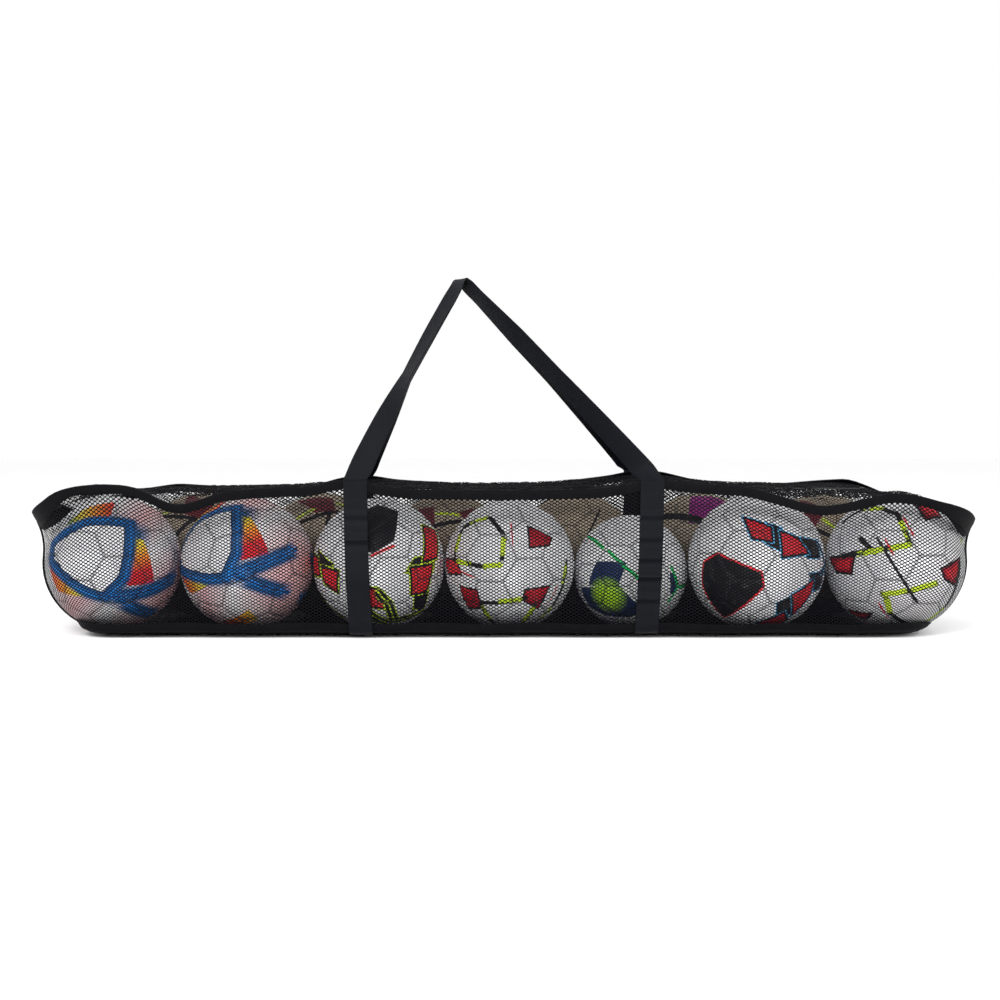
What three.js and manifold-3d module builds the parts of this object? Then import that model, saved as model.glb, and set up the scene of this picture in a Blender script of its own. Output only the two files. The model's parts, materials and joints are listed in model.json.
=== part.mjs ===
// Long box-shaped carry bag of black knotless net, packed with two rows of footballs.
// Millimetres, +X along the bag, -Y towards the front face, +Z up. The origin is the middle
// of the base, on the ground. Soft panels are thin flat plates here, at their real outer size.
import * as THREE from "three";
import { mergeVertices } from "three/addons/utils/BufferGeometryUtils.js";
import Module from "manifold-3d";

const wasm = await Module();
wasm.setup();

// ---- driving dimensions -------------------------------------------------------------------
const HALF_LENGTH = 773; // to the outside of the end panels
const HALF_DEPTH = 226; // to the outside of the front and back panels
const TOP_Z = 236; // upper side of the top panels
const WALL_CORNER = 100; // plan radius where the balls round the walls off
const EAR_CORNER = 45; // plan radius of the top, whose corners stand out as ears
const NET = 1.6; // thickness of a net panel
const GAP = 0.3; // between pieces that touch

const BASE_THICK = 3.2;
const WEBBING_WIDTH = 38;
const WEBBING_THICK = 1.4;
const FRONT_STRAP_X = 236; // where the straps, and the feet of the handles, lie on each face
const BACK_STRAP_X = 245;
const STRAP_TOP = TOP_Z - 1.6;

const BINDING_THICK = 1.2;
const TOP_BINDING = 20; // how far the top binding comes down the wall, and in over the top
const BOTTOM_BINDING = 12;
const SEAM_WIDTH = 10; // binding of the four upright corner seams

const FLAP_LEFT = 670; // the zip opens the top from here, left of the middle,
const FLAP_RIGHT = 570; // to here, right of the middle
const HINGE_GAP = 1.2; // slack at the sewn edge that each flap folds along
const FLAP_HINGE_Y = HALF_DEPTH - TOP_BINDING + HINGE_GAP / 2;

const ZIP_Z = TOP_Z - NET / 2; // middle of the zip's thickness
const ZIP_SLOT = 1.2; // half of the slot between the two rows of teeth
const COIL_WIDTH = 3;
const COIL_THICK = 2.4;
const TAPE_WIDTH = 11;
const TAPE_THICK = 0.8;
const ZIP_PAST = 47; // the teeth run on, sewn down, past each end of the opening
const SLIDER_X = -706; // the slider at the closed end of the zip
const SLIDER_LENGTH = 16;
const SLIDER_WIDTH = 12;
const SLIDER_PLATE = 1.8;
const PULL_HINGE_Z = ZIP_Z + 5.8;
const PULL_LENGTH = 30;

const HANDLE_HINGE_Y = 228.5;
const HANDLE_HINGE_Z = TOP_Z + 1;
const HANDLE_LEAN = THREE.MathUtils.degToRad(58.16); // each handle leans in over the bag
const HANDLE_REACH = 424; // hinge to the crown, along the handle
const CROWN_X = -73; // both handles are gathered left of the middle
const CROWN_HALF = 9; // half width of the fold at the crown

const BALL_WALL = 3.5;
const VALVE_HOLE = 2.5;
// Balls as they lie: x, y and diameter. A smaller training ball is fifth in the front row.
const FRONT_BALLS = [
  [-650, -96, 222],
  [-428, -96, 220],
  [-208, -96, 219],
  [10, -96, 216],
  [214, -75, 190],
  [420, -108, 226],
  [650, -108, 226],
];
const BACK_BALLS = [
  [-542, 96, 220],
  [-321, 96, 220],
  [-100, 96, 220],
  [132, 113, 220],
  [353, 106, 220],
  [575, 103, 220],
];

// ---- finishes -----------------------------------------------------------------------------
const finish = (color, roughness, metalness = 0) =>
  new THREE.MeshStandardMaterial({ color, roughness, metalness });
const netFinish = () => finish(0x101012, 0.8);
const wovenFinish = () => finish(0x0b0b0d, 0.85);
const webbingFinish = () => finish(0x15171d, 0.65);
const bindingFinish = () => finish(0x0c0c0e, 0.7);
const nylonFinish = () => finish(0x141416, 0.45);
const metalFinish = () => finish(0x2a2a2c, 0.35, 0.9);
const ballFinish = () => finish(0xe4e2e0, 0.45);

// ---- making and joining solids ------------------------------------------------------------
const bag = new THREE.Group();

function add(name, geometry, material) {
  const mesh = new THREE.Mesh(geometry, material);
  mesh.name = name;
  bag.add(mesh);
  return mesh;
}

function box(x0, x1, y0, y1, z0, z1) {
  const g = new THREE.BoxGeometry(x1 - x0, y1 - y0, z1 - z0);
  return g.translate((x0 + x1) / 2, (y0 + y1) / 2, (z0 + z1) / 2);
}

// A plan outline in X and Y, raised between two heights.
function plate(outline, z0, z1, curveSegments = 5) {
  const g = new THREE.ExtrudeGeometry(outline, {
    depth: z1 - z0,
    bevelEnabled: false,
    curveSegments,
  });
  return g.translate(0, 0, z0);
}

// A section in Y and Z, run along X.
function runAlongX(section, x0, x1) {
  const g = new THREE.ExtrudeGeometry(section, {
    depth: x1 - x0,
    bevelEnabled: false,
  });
  const axes = new THREE.Matrix4().makeBasis(
    new THREE.Vector3(0, 1, 0),
    new THREE.Vector3(0, 0, 1),
    new THREE.Vector3(1, 0, 0),
  );
  return g.applyMatrix4(axes).translate(x0, 0, 0);
}

// The straps run round the bag a little askew: slide a piece along X in step with its Y.
function askew(geometry, hand) {
  const x = hand * (FRONT_STRAP_X + BACK_STRAP_X) * 0.5;
  const slope = (hand * (BACK_STRAP_X - FRONT_STRAP_X)) / (2 * HALF_DEPTH);
  const slide = new THREE.Matrix4().makeShear(0, 0, slope, 0, 0, 0);
  return geometry.applyMatrix4(slide).translate(x, 0, 0);
}

function polygon(points) {
  return new THREE.Shape(points.map(([x, y]) => new THREE.Vector2(x, y)));
}

function solid(geometry) {
  const g = geometry.clone();
  g.deleteAttribute("normal");
  g.deleteAttribute("uv");
  const merged = mergeVertices(g, 1e-4);
  return new wasm.Manifold(
    new wasm.Mesh({
      numProp: 3,
      vertProperties: merged.attributes.position.array,
      triVerts: new Uint32Array(merged.index.array),
    }),
  );
}

function geometryOf(made) {
  const mesh = made.getMesh();
  return new THREE.BufferGeometry()
    .setAttribute(
      "position",
      new THREE.BufferAttribute(mesh.vertProperties, 3),
    )
    .setIndex(new THREE.BufferAttribute(mesh.triVerts, 1));
}

const joined = (...pieces) =>
  geometryOf(pieces.map(solid).reduce((whole, piece) => whole.add(piece)));

const cutFrom = (piece, ...cutters) =>
  geometryOf(
    cutters.map(solid).reduce((rest, cut) => rest.subtract(cut), solid(piece)),
  );

// ---- base and walls -----------------------------------------------------------------------
function roundedPlan(halfLength, halfDepth, radius) {
  const x = halfLength - radius;
  const y = halfDepth - radius;
  const plan = new THREE.Shape();
  plan.absarc(x, y, radius, 0, Math.PI / 2);
  plan.absarc(-x, y, radius, Math.PI / 2, Math.PI);
  plan.absarc(-x, -y, radius, Math.PI, Math.PI * 1.5);
  plan.absarc(x, -y, radius, Math.PI * 1.5, Math.PI * 2);
  return plan;
}

// The right end of a rounded plan as a strip of wall, open towards the bag.
function endStrip(halfLength, halfDepth, radius, thickness) {
  const x = halfLength - radius;
  const y = halfDepth - radius;
  const inner = radius - thickness;
  const quarter = Math.PI / 2;
  const strip = new THREE.Shape();
  strip.absarc(x, -y, radius, -quarter, 0);
  strip.absarc(x, y, radius, 0, quarter);
  strip.absarc(x, y, inner, quarter, 0, true);
  strip.absarc(x, -y, inner, 0, -quarter, true);
  return strip;
}

function addBase() {
  const edge = NET + 2 * GAP;
  const plan = roundedPlan(
    HALF_LENGTH - edge,
    HALF_DEPTH - edge,
    WALL_CORNER - edge,
  );
  const half = WEBBING_WIDTH / 2 + GAP;
  const groove = (hand) =>
    askew(box(-half, half, -HALF_DEPTH, HALF_DEPTH, -1, WEBBING_THICK + GAP), hand);
  add(
    "base_panel",
    cutFrom(plate(plan, 0, BASE_THICK), groove(-1), groove(1)),
    wovenFinish(),
  );
}

const WALL_BOTTOM = WEBBING_THICK + 2 * GAP;
const WALL_TOP = TOP_Z - NET - GAP;
const WALL_STRAIGHT = HALF_LENGTH - WALL_CORNER;
const SEAM_Y = HALF_DEPTH - WALL_CORNER; // upright seams, where the walls reach the ends

// The front and back panels wrap round the corners, and a flat end panel joins them.
function addWalls() {
  const inner = WALL_CORNER - NET;
  const turn = Math.PI / 2;
  const outline = new THREE.Shape();
  outline.absarc(-WALL_STRAIGHT, -SEAM_Y, WALL_CORNER, 2 * turn, 3 * turn);
  outline.absarc(WALL_STRAIGHT, -SEAM_Y, WALL_CORNER, 3 * turn, 4 * turn);
  outline.absarc(WALL_STRAIGHT, -SEAM_Y, inner, 4 * turn, 3 * turn, true);
  outline.absarc(-WALL_STRAIGHT, -SEAM_Y, inner, 3 * turn, 2 * turn, true);
  const wall = plate(outline, WALL_BOTTOM, WALL_TOP);
  add("front_panel", wall, netFinish());
  add("back_panel", wall.clone(), netFinish()).rotation.z = Math.PI;
  const end = box(
    HALF_LENGTH - NET,
    HALF_LENGTH,
    -SEAM_Y + GAP,
    SEAM_Y - GAP,
    WALL_BOTTOM,
    WALL_TOP,
  );
  add("end_panel_right", end, netFinish());
  add("end_panel_left", end.clone(), netFinish()).rotation.z = Math.PI;
}

// ---- bindings -----------------------------------------------------------------------------
function addBindings() {
  const face = HALF_DEPTH + GAP;
  const endFace = HALF_LENGTH + GAP;
  const outside = face + BINDING_THICK;
  const inboard = HALF_DEPTH - TOP_BINDING;
  const topStraight = HALF_LENGTH - EAR_CORNER;
  // The top binding is folded over the edge, so its section is an angle.
  const angle = (side) =>
    polygon([
      [side * outside, TOP_Z - TOP_BINDING],
      [side * outside, TOP_Z],
      [side * inboard, TOP_Z],
      [side * inboard, TOP_Z - NET + GAP],
      [side * face, TOP_Z - NET + GAP],
      [side * face, TOP_Z - TOP_BINDING],
    ]);
  for (const [side, name] of [
    [-1, "front"],
    [1, "back"],
  ]) {
    add(
      "top_binding_" + name,
      runAlongX(angle(side), -topStraight + GAP, topStraight - GAP),
      bindingFinish(),
    );
    const low = Math.min(side * face, side * outside);
    const high = Math.max(side * face, side * outside);
    add(
      "bottom_binding_" + name,
      box(
        -WALL_STRAIGHT + GAP,
        WALL_STRAIGHT - GAP,
        low,
        high,
        WALL_BOTTOM,
        WALL_BOTTOM + BOTTOM_BINDING,
      ),
      bindingFinish(),
    );
    for (const [end, hand] of [
      [-1, "left"],
      [1, "right"],
    ])
      add(
        "corner_seam_" + name + "_" + hand,
        box(
          end > 0 ? endFace : -endFace - BINDING_THICK,
          end > 0 ? endFace + BINDING_THICK : -endFace,
          side * SEAM_Y - SEAM_WIDTH / 2,
          side * SEAM_Y + SEAM_WIDTH / 2,
          WALL_BOTTOM + BOTTOM_BINDING + GAP,
          TOP_Z - TOP_BINDING - GAP,
        ),
        bindingFinish(),
      );
  }
  const strip = (radius, z0, z1) =>
    plate(
      endStrip(HALF_LENGTH + outside - HALF_DEPTH, outside, radius, BINDING_THICK),
      z0,
      z1,
    );
  const top = strip(EAR_CORNER + outside - HALF_DEPTH, TOP_Z - TOP_BINDING, TOP_Z);
  const bottom = strip(
    WALL_CORNER + outside - HALF_DEPTH,
    WALL_BOTTOM,
    WALL_BOTTOM + BOTTOM_BINDING,
  );
  for (const [name, end] of [
    ["top_binding", top],
    ["bottom_binding", bottom],
  ]) {
    add(name + "_right", end, bindingFinish());
    add(name + "_left", end.clone(), bindingFinish()).rotation.z = Math.PI;
  }
}

// ---- top: two end pieces, two flaps and the zip between them ---------------------------------
// The right end's piece of net, for an opening that reaches that far from the middle.
function topEnd(opening) {
  const edge = opening + 2;
  const zipEdge = ZIP_SLOT + COIL_WIDTH + TAPE_WIDTH + GAP;
  const topStraight = HALF_LENGTH - EAR_CORNER;
  const y = HALF_DEPTH - EAR_CORNER;
  const under = HALF_DEPTH - TOP_BINDING - GAP;
  const plan = new THREE.Shape();
  plan.moveTo(edge, -under);
  plan.lineTo(topStraight, -under);
  plan.lineTo(topStraight, -HALF_DEPTH);
  plan.absarc(topStraight, -y, EAR_CORNER, -Math.PI / 2, 0);
  plan.absarc(topStraight, y, EAR_CORNER, 0, Math.PI / 2);
  plan.lineTo(topStraight, under);
  plan.lineTo(edge, under);
  plan.lineTo(edge, zipEdge);
  plan.lineTo(opening + ZIP_PAST + 12, zipEdge);
  plan.lineTo(opening + ZIP_PAST + 12, -zipEdge);
  plan.lineTo(edge, -zipEdge);
  return plate(plan, TOP_Z - NET + GAP, TOP_Z);
}

function addTopEnds() {
  add("top_end_right", topEnd(FLAP_RIGHT), netFinish());
  add("top_end_left", topEnd(FLAP_LEFT), netFinish()).rotation.z = Math.PI;
}

function addFlap(side, name) {
  const across = (near, far) => [
    Math.min(side * near, side * far),
    Math.max(side * near, side * far),
  ];
  const coilOuter = ZIP_SLOT + COIL_WIDTH;
  const tapeOuter = coilOuter + TAPE_WIDTH;
  add(
    "zip_coil_" + name,
    box(
      -FLAP_LEFT,
      FLAP_RIGHT,
      ...across(ZIP_SLOT, coilOuter),
      ZIP_Z - COIL_THICK / 2,
      ZIP_Z + COIL_THICK / 2,
    ),
    nylonFinish(),
  );
  add(
    "zip_tape_" + name,
    box(
      -FLAP_LEFT,
      FLAP_RIGHT,
      ...across(coilOuter + GAP, tapeOuter),
      ZIP_Z - TAPE_THICK / 2,
      ZIP_Z + TAPE_THICK / 2,
    ),
    wovenFinish(),
  );
  add(
    "top_flap_" + name,
    box(
      -FLAP_LEFT,
      FLAP_RIGHT,
      ...across(tapeOuter + GAP, FLAP_HINGE_Y - HINGE_GAP),
      TOP_Z - NET,
      TOP_Z,
    ),
    netFinish(),
  );
}

// The closed length of zip past the right end of the flaps, which is sewn down, and its stop.
function zipEnd(opening) {
  const start = opening + 2;
  const teethEnd = opening + ZIP_PAST;
  const coilOuter = ZIP_SLOT + COIL_WIDTH;
  const tapeOuter = coilOuter + TAPE_WIDTH;
  const tapeEnd = teethEnd + 11;
  const tape = cutFrom(
    box(start, tapeEnd, -tapeOuter, tapeOuter, ZIP_Z - TAPE_THICK / 2, ZIP_Z + TAPE_THICK / 2),
    box(start - 1, teethEnd, -ZIP_SLOT, ZIP_SLOT, ZIP_Z - 1, ZIP_Z + 1),
  );
  const row = (side) =>
    box(
      start,
      teethEnd,
      side > 0 ? ZIP_SLOT : -coilOuter,
      side > 0 ? coilOuter : -ZIP_SLOT,
      ZIP_Z - COIL_THICK / 2,
      ZIP_Z + COIL_THICK / 2,
    );
  const end = joined(tape, row(-1), row(1));
  const stop = box(
    teethEnd + GAP,
    teethEnd + 7,
    -coilOuter,
    coilOuter,
    ZIP_Z + TAPE_THICK / 2 + GAP,
    ZIP_Z + 2.2,
  );
  return { end, stop };
}

function addZipEnds() {
  const right = zipEnd(FLAP_RIGHT);
  const left = zipEnd(FLAP_LEFT);
  add("zip_end_right", right.end, wovenFinish());
  add("zip_stop_right", right.stop, metalFinish());
  add("zip_end_left", left.end, wovenFinish()).rotation.z = Math.PI;
  add("zip_stop_left", left.stop, metalFinish()).rotation.z = Math.PI;
}

function addSlider() {
  const half = SLIDER_LENGTH / 2;
  const side = SLIDER_WIDTH / 2;
  const clear = COIL_THICK / 2 + 0.4;
  const top = ZIP_Z + clear;
  const bottom = ZIP_Z - clear;
  const plates = [
    box(-half, half, -side, side, top, top + SLIDER_PLATE),
    box(-half, half, -side, side, bottom - SLIDER_PLATE, bottom),
    box(-2, 2, -0.8, 0.8, bottom - 1, top + 1), // the wedge that parts the teeth
  ];
  const flanges = [-1, 1].flatMap((hand) => {
    const y0 = hand > 0 ? side - 1 : -side;
    return [
      box(-half, half, y0, y0 + 1, ZIP_Z + TAPE_THICK / 2 + 0.4, top + 1),
      box(-half, half, y0, y0 + 1, bottom - 1, ZIP_Z - TAPE_THICK / 2 - 0.4),
    ];
  });
  const lugs = [-1, 1].map((hand) => {
    const y0 = hand > 0 ? 3 : -4.4;
    return box(-2.4, 2.4, y0, y0 + 1.4, top + 1, PULL_HINGE_Z + 2);
  });
  const pin = new THREE.CylinderGeometry(1.1, 1.1, 12, 12).translate(
    0,
    0,
    PULL_HINGE_Z,
  );
  const slider = cutFrom(joined(...plates, ...flanges, ...lugs), pin);
  add("zip_slider", slider, metalFinish()).position.x = SLIDER_X;
}

function addPull() {
  const trunnion = new THREE.CylinderGeometry(0.8, 0.8, 8.8, 12).translate(
    0,
    0,
    PULL_HINGE_Z,
  );
  const tab = box(-1.2, PULL_LENGTH, -2.5, 2.5, PULL_HINGE_Z - 0.8, PULL_HINGE_Z + 0.8);
  const grip = plate(
    roundedPlan(8, 4.5, 3),
    PULL_HINGE_Z - 0.9,
    PULL_HINGE_Z + 0.9,
  ).translate(PULL_LENGTH - 4, 0, 0);
  add("zip_pull", joined(trunnion, tab, grip), metalFinish()).position.x = SLIDER_X;
}

// ---- webbing: two straps sewn round the bag, and a handle on each face -----------------------
function addStraps() {
  const outer = HALF_DEPTH + 2 * GAP + BINDING_THICK + WEBBING_THICK;
  const inner = outer - WEBBING_THICK;
  const section = polygon([
    [-outer, STRAP_TOP],
    [-outer, 0],
    [outer, 0],
    [outer, STRAP_TOP],
    [inner, STRAP_TOP],
    [inner, WEBBING_THICK],
    [-inner, WEBBING_THICK],
    [-inner, STRAP_TOP],
  ]);
  for (const [hand, name] of [
    [-1, "strap_left"],
    [1, "strap_right"],
  ]) {
    const band = runAlongX(section, -WEBBING_WIDTH / 2, WEBBING_WIDTH / 2);
    add(name, askew(band, hand), webbingFinish());
  }
}

// A handle lies in one plane: two legs of webbing from its feet up to a folded crown.
function handleOutline(footX) {
  const half = WEBBING_WIDTH / 2;
  const start = 2;
  const crownLow = HANDLE_REACH - 26;
  return polygon([
    [-footX - half, start],
    [-footX + half, start],
    [CROWN_X, crownLow - 34],
    [footX - half, start],
    [footX + half, start],
    [CROWN_X + CROWN_HALF, HANDLE_REACH],
    [CROWN_X - CROWN_HALF, HANDLE_REACH],
  ]);
}

function addHandle(side, name, footX) {
  const handle = new THREE.Group();
  handle.position.set(0, side * HANDLE_HINGE_Y, HANDLE_HINGE_Z);
  handle.rotation.x = side < 0 ? HANDLE_LEAN : Math.PI - HANDLE_LEAN;
  const webbing = new THREE.ExtrudeGeometry(handleOutline(footX), {
    depth: WEBBING_THICK,
    bevelEnabled: false,
  }).translate(0, 0, -WEBBING_THICK / 2);
  const mesh = new THREE.Mesh(webbing, webbingFinish());
  mesh.name = name;
  handle.add(mesh);
  bag.add(handle);
}

// ---- balls --------------------------------------------------------------------------------
// A hollow shell turned about its valve, which is the only way into it.
function ballShell(radius) {
  const profile = [];
  const arc = (r, from, to, steps) => {
    for (let i = 0; i <= steps; i++) {
      const a = from + ((to - from) * i) / steps;
      profile.push(new THREE.Vector2(r * Math.sin(a), r * Math.cos(a)));
    }
  };
  const inner = radius - BALL_WALL;
  const lip = Math.asin(VALVE_HOLE / radius);
  const innerLip = Math.asin(VALVE_HOLE / inner);
  arc(radius, Math.PI, lip, 11);
  arc(inner, innerLip, Math.PI, 7);
  for (const end of [profile[0], profile[profile.length - 1]]) end.x = 0;
  return new THREE.LatheGeometry(profile, 16);
}

function addBalls(row, places) {
  places.forEach(([x, y, diameter], i) => {
    const ball = add(row + (i + 1), ballShell(diameter / 2), ballFinish());
    ball.position.set(x, y, BASE_THICK + GAP + diameter / 2);
    ball.rotation.set(0.4 * i, 0, 1.1 * i);
  });
}

addBase();
addWalls();
addBindings();
addTopEnds();
addFlap(-1, "front");
addFlap(1, "back");
addZipEnds();
addSlider();
addPull();
addStraps();
addHandle(-1, "handle_front", FRONT_STRAP_X);
addHandle(1, "handle_back", BACK_STRAP_X);
addBalls("ball_front_", FRONT_BALLS);
addBalls("ball_back_", BACK_BALLS);

export default bag;
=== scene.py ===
# Long net carry bag packed with two rows of footballs: black knotless net walls and top, bound
# edges, a woven base, a coil zip down the middle of the top, and two webbing straps that run
# round the bag and on into two carrying handles. Metres, +X along the bag, -Y to the front.
import json
import math

import bpy
import numpy as np
from mathutils import Euler, Matrix, Vector

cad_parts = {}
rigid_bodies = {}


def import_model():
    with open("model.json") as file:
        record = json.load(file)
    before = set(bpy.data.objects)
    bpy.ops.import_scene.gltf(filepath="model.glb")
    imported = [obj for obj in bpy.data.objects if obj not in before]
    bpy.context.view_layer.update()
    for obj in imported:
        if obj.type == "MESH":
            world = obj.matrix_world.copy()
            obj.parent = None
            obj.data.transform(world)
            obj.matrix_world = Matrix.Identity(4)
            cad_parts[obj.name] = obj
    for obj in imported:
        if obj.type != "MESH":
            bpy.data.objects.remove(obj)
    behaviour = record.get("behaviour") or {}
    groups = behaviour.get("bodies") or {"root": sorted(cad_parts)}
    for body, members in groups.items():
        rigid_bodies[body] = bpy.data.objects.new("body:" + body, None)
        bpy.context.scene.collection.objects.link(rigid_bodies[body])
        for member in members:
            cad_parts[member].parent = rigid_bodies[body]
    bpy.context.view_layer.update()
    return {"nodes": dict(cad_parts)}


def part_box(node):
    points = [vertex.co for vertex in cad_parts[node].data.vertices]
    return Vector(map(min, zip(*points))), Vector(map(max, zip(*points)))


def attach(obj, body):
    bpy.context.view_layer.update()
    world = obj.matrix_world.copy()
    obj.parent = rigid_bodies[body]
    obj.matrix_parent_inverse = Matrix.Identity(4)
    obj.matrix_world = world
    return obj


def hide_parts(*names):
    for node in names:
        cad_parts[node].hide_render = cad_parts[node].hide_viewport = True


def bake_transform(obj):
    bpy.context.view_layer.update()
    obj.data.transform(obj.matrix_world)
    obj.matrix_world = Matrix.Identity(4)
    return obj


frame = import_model()

# ---- Studio -------------------------------------------------------------------------------
# A plain pale floor, an even white surround and two soft lamps above the front. The camera
# stands a little over two and a half metres off, just above the bag's height.
bpy.ops.object.select_all(action="DESELECT")


def new_material(name):
    material = bpy.data.materials.new(name)
    material.use_nodes = True
    tree = material.node_tree
    return material, tree, tree.nodes["Principled BSDF"]


def add_node(tree, kind, **settings):
    made = tree.nodes.new(kind)
    for setting, value in settings.items():
        setattr(made, setting, value)
    return made


def feed(tree, socket, value):
    if isinstance(value, bpy.types.NodeSocket):
        tree.links.new(value, socket)
    else:
        socket.default_value = value


def mix(tree, share, under, over):
    made = add_node(tree, "ShaderNodeMix", data_type="RGBA", clamp_factor=True)
    feed(tree, made.inputs["Factor"], share)
    feed(tree, made.inputs["A"], under)
    feed(tree, made.inputs["B"], over)
    return made.outputs["Result"]


def noise(tree, place, scale, detail=2.0):
    made = add_node(tree, "ShaderNodeTexNoise")
    feed(tree, made.inputs["Vector"], place)
    made.inputs["Scale"].default_value = scale
    made.inputs["Detail"].default_value = detail
    return made.outputs["Fac"]


def two_toned(name, scale, dark, light, detail=2.0):
    """A finish that drifts between two tones; its place and drift are for its other looks."""
    material, tree, shader = new_material(name)
    place = add_node(tree, "ShaderNodeTexCoord").outputs["Object"]
    drift = noise(tree, place, scale, detail)
    feed(tree, shader.inputs["Base Color"], mix(tree, drift, dark, light))
    return material, tree, shader, place, drift


bpy.ops.mesh.primitive_plane_add(size=40, location=(0, 0, 0))
floor = bpy.context.object
floor.name = "floor"
floor_finish, _, shader, _, _ = two_toned(
    "pale floor", 1.5, (0.97, 0.97, 0.97, 1), (0.985, 0.985, 0.985, 1)
)
shader.inputs["Roughness"].default_value = 0.8
floor.data.materials.append(floor_finish)

world = bpy.data.worlds.new("surround")
bpy.context.scene.world = world
world.use_nodes = True
world.node_tree.nodes["Background"].inputs["Color"].default_value = (1, 1, 1, 1)
world.node_tree.nodes["Background"].inputs["Strength"].default_value = 1.0

for lamp_name, spot, power, across in (
    ("key lamp", (-1.6, -3.2, 2.6), 150, 2.2),
    ("fill lamp", (2.4, -2.6, 1.8), 80, 2.0),
):
    bpy.ops.object.light_add(type="AREA", location=spot)
    lamp = bpy.context.object
    lamp.name = lamp_name
    lamp.data.energy = power
    lamp.data.size = across
    aim = Vector((0, 0, 0.15)) - Vector(spot)
    lamp.rotation_euler = aim.to_track_quat("-Z", "Y").to_euler()

bpy.ops.object.camera_add(location=(-0.006, -2.596, 0.324))
camera = bpy.context.object
camera.rotation_euler = (math.radians(90 - 2.39), 0, 0)
camera.data.lens = 54
camera.data.sensor_width = 36
bpy.context.scene.camera = camera
bpy.context.scene.view_settings.view_transform = "Standard"

# ---- Balls --------------------------------------------------------------------------------
# Thirteen footballs: twelve hexagon-and-pentagon panel balls of match size and one smaller
# trainer, coated leather with pressed-in seams and a rubber valve. They lie on the base.


def plain_ball():
    """One ball of radius 1: a cut-down icosahedron blown round, its seams pressed in."""
    bpy.ops.object.select_all(action="DESELECT")
    bpy.ops.mesh.primitive_ico_sphere_add(subdivisions=1, radius=1)
    ball = bpy.context.object
    bpy.ops.object.mode_set(mode="EDIT")
    bpy.ops.mesh.select_all(action="SELECT")
    bpy.ops.mesh.bevel(offset_type="PERCENT", offset_pct=100 / 3, affect="VERTICES")
    bpy.ops.mesh.select_all(action="SELECT")
    bpy.ops.mesh.mark_seam(clear=False)
    bpy.ops.mesh.poke()
    bpy.ops.mesh.select_all(action="SELECT")
    bpy.ops.mesh.subdivide(number_cuts=4)
    bpy.ops.transform.tosphere(value=1.0)
    bpy.ops.mesh.select_all(action="DESELECT")
    bpy.ops.mesh.select_mode(type="EDGE")
    bpy.ops.object.mode_set(mode="OBJECT")
    for edge in ball.data.edges:
        edge.select = edge.use_seam
    bpy.ops.object.mode_set(mode="EDIT")
    bpy.ops.mesh.bevel(offset=0.02, segments=2, affect="EDGES")
    bpy.ops.mesh.select_mode(type="VERT")
    bpy.ops.mesh.select_less()
    bpy.ops.transform.resize(value=(0.982, 0.982, 0.982), center_override=(0, 0, 0))
    bpy.ops.object.mode_set(mode="OBJECT")
    bpy.ops.object.shade_smooth()
    count = len(ball.data.vertices)
    spots = np.zeros(count * 3)
    ball.data.vertices.foreach_get("co", spots)
    reach = np.linalg.norm(spots.reshape(-1, 3), axis=1)
    ball.data.transform(Matrix.Scale(1 / reach.max(), 4))
    seam = ball.data.attributes.new("seam", "FLOAT", "POINT")
    seam.data.foreach_set("value", (reach < reach.max() * 0.991).astype(np.float32))
    return ball


def valve():
    """The rubber valve: a low ring round the needle hole."""
    bpy.ops.mesh.primitive_circle_add(
        vertices=20, radius=0.05, fill_type="NOTHING", location=(0, 0, 0.992)
    )
    ring = bpy.context.object
    bpy.ops.object.mode_set(mode="EDIT")
    bpy.ops.mesh.select_all(action="SELECT")
    for size, rise in ((0.84, 0.011), (0.5, -0.002), (0.8, -0.03), (0.05, -0.002)):
        bpy.ops.mesh.extrude_region_move(
            TRANSFORM_OT_translate={"value": (0, 0, rise)}
        )
        bpy.ops.transform.resize(value=(size, size, 1))
    bpy.ops.object.mode_set(mode="OBJECT")
    bpy.ops.object.shade_smooth()
    return ring


pattern_ball = plain_ball()
pattern_valve = valve()
rubber, _, shader, _, _ = two_toned(
    "valve rubber", 900, (0.015, 0.015, 0.015, 1), (0.04, 0.04, 0.04, 1)
)
shader.inputs["Roughness"].default_value = 0.7
pattern_ball.data.materials.append(rubber)
pattern_valve.data.materials.append(rubber)
bpy.ops.object.select_all(action="DESELECT")
pattern_valve.select_set(True)
pattern_ball.select_set(True)
bpy.context.view_layer.objects.active = pattern_ball
bpy.ops.object.join()
skin = pattern_ball.data.attributes.new("skin", "FLOAT_VECTOR", "POINT")
spots = np.zeros(len(pattern_ball.data.vertices) * 3, np.float32)
pattern_ball.data.vertices.foreach_get("co", spots)
skin.data.foreach_set("vector", spots)


def calc(tree, operation, *values, clamp=False):
    made = add_node(tree, "ShaderNodeMath", operation=operation, use_clamp=clamp)
    for socket, value in zip(made.inputs, values):
        feed(tree, socket, value)
    return made.outputs[0]


def emboss(tree, shader, height, strength, depth):
    made = add_node(tree, "ShaderNodeBump")
    made.inputs["Strength"].default_value = strength
    made.inputs["Distance"].default_value = depth
    tree.links.new(height, made.inputs["Height"])
    tree.links.new(made.outputs["Normal"], shader.inputs["Normal"])


def toward(across, up):
    """The point of the ball's front that lies there, in shares of its radius."""
    return Vector((across, -math.sqrt(max(0.0, 1 - across**2 - up**2)), up))


def dot(tree, point, direction):
    made = add_node(tree, "ShaderNodeVectorMath", operation="DOT_PRODUCT")
    tree.links.new(point, made.inputs[0])
    made.inputs[1].default_value = direction
    return made.outputs["Value"]


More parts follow.
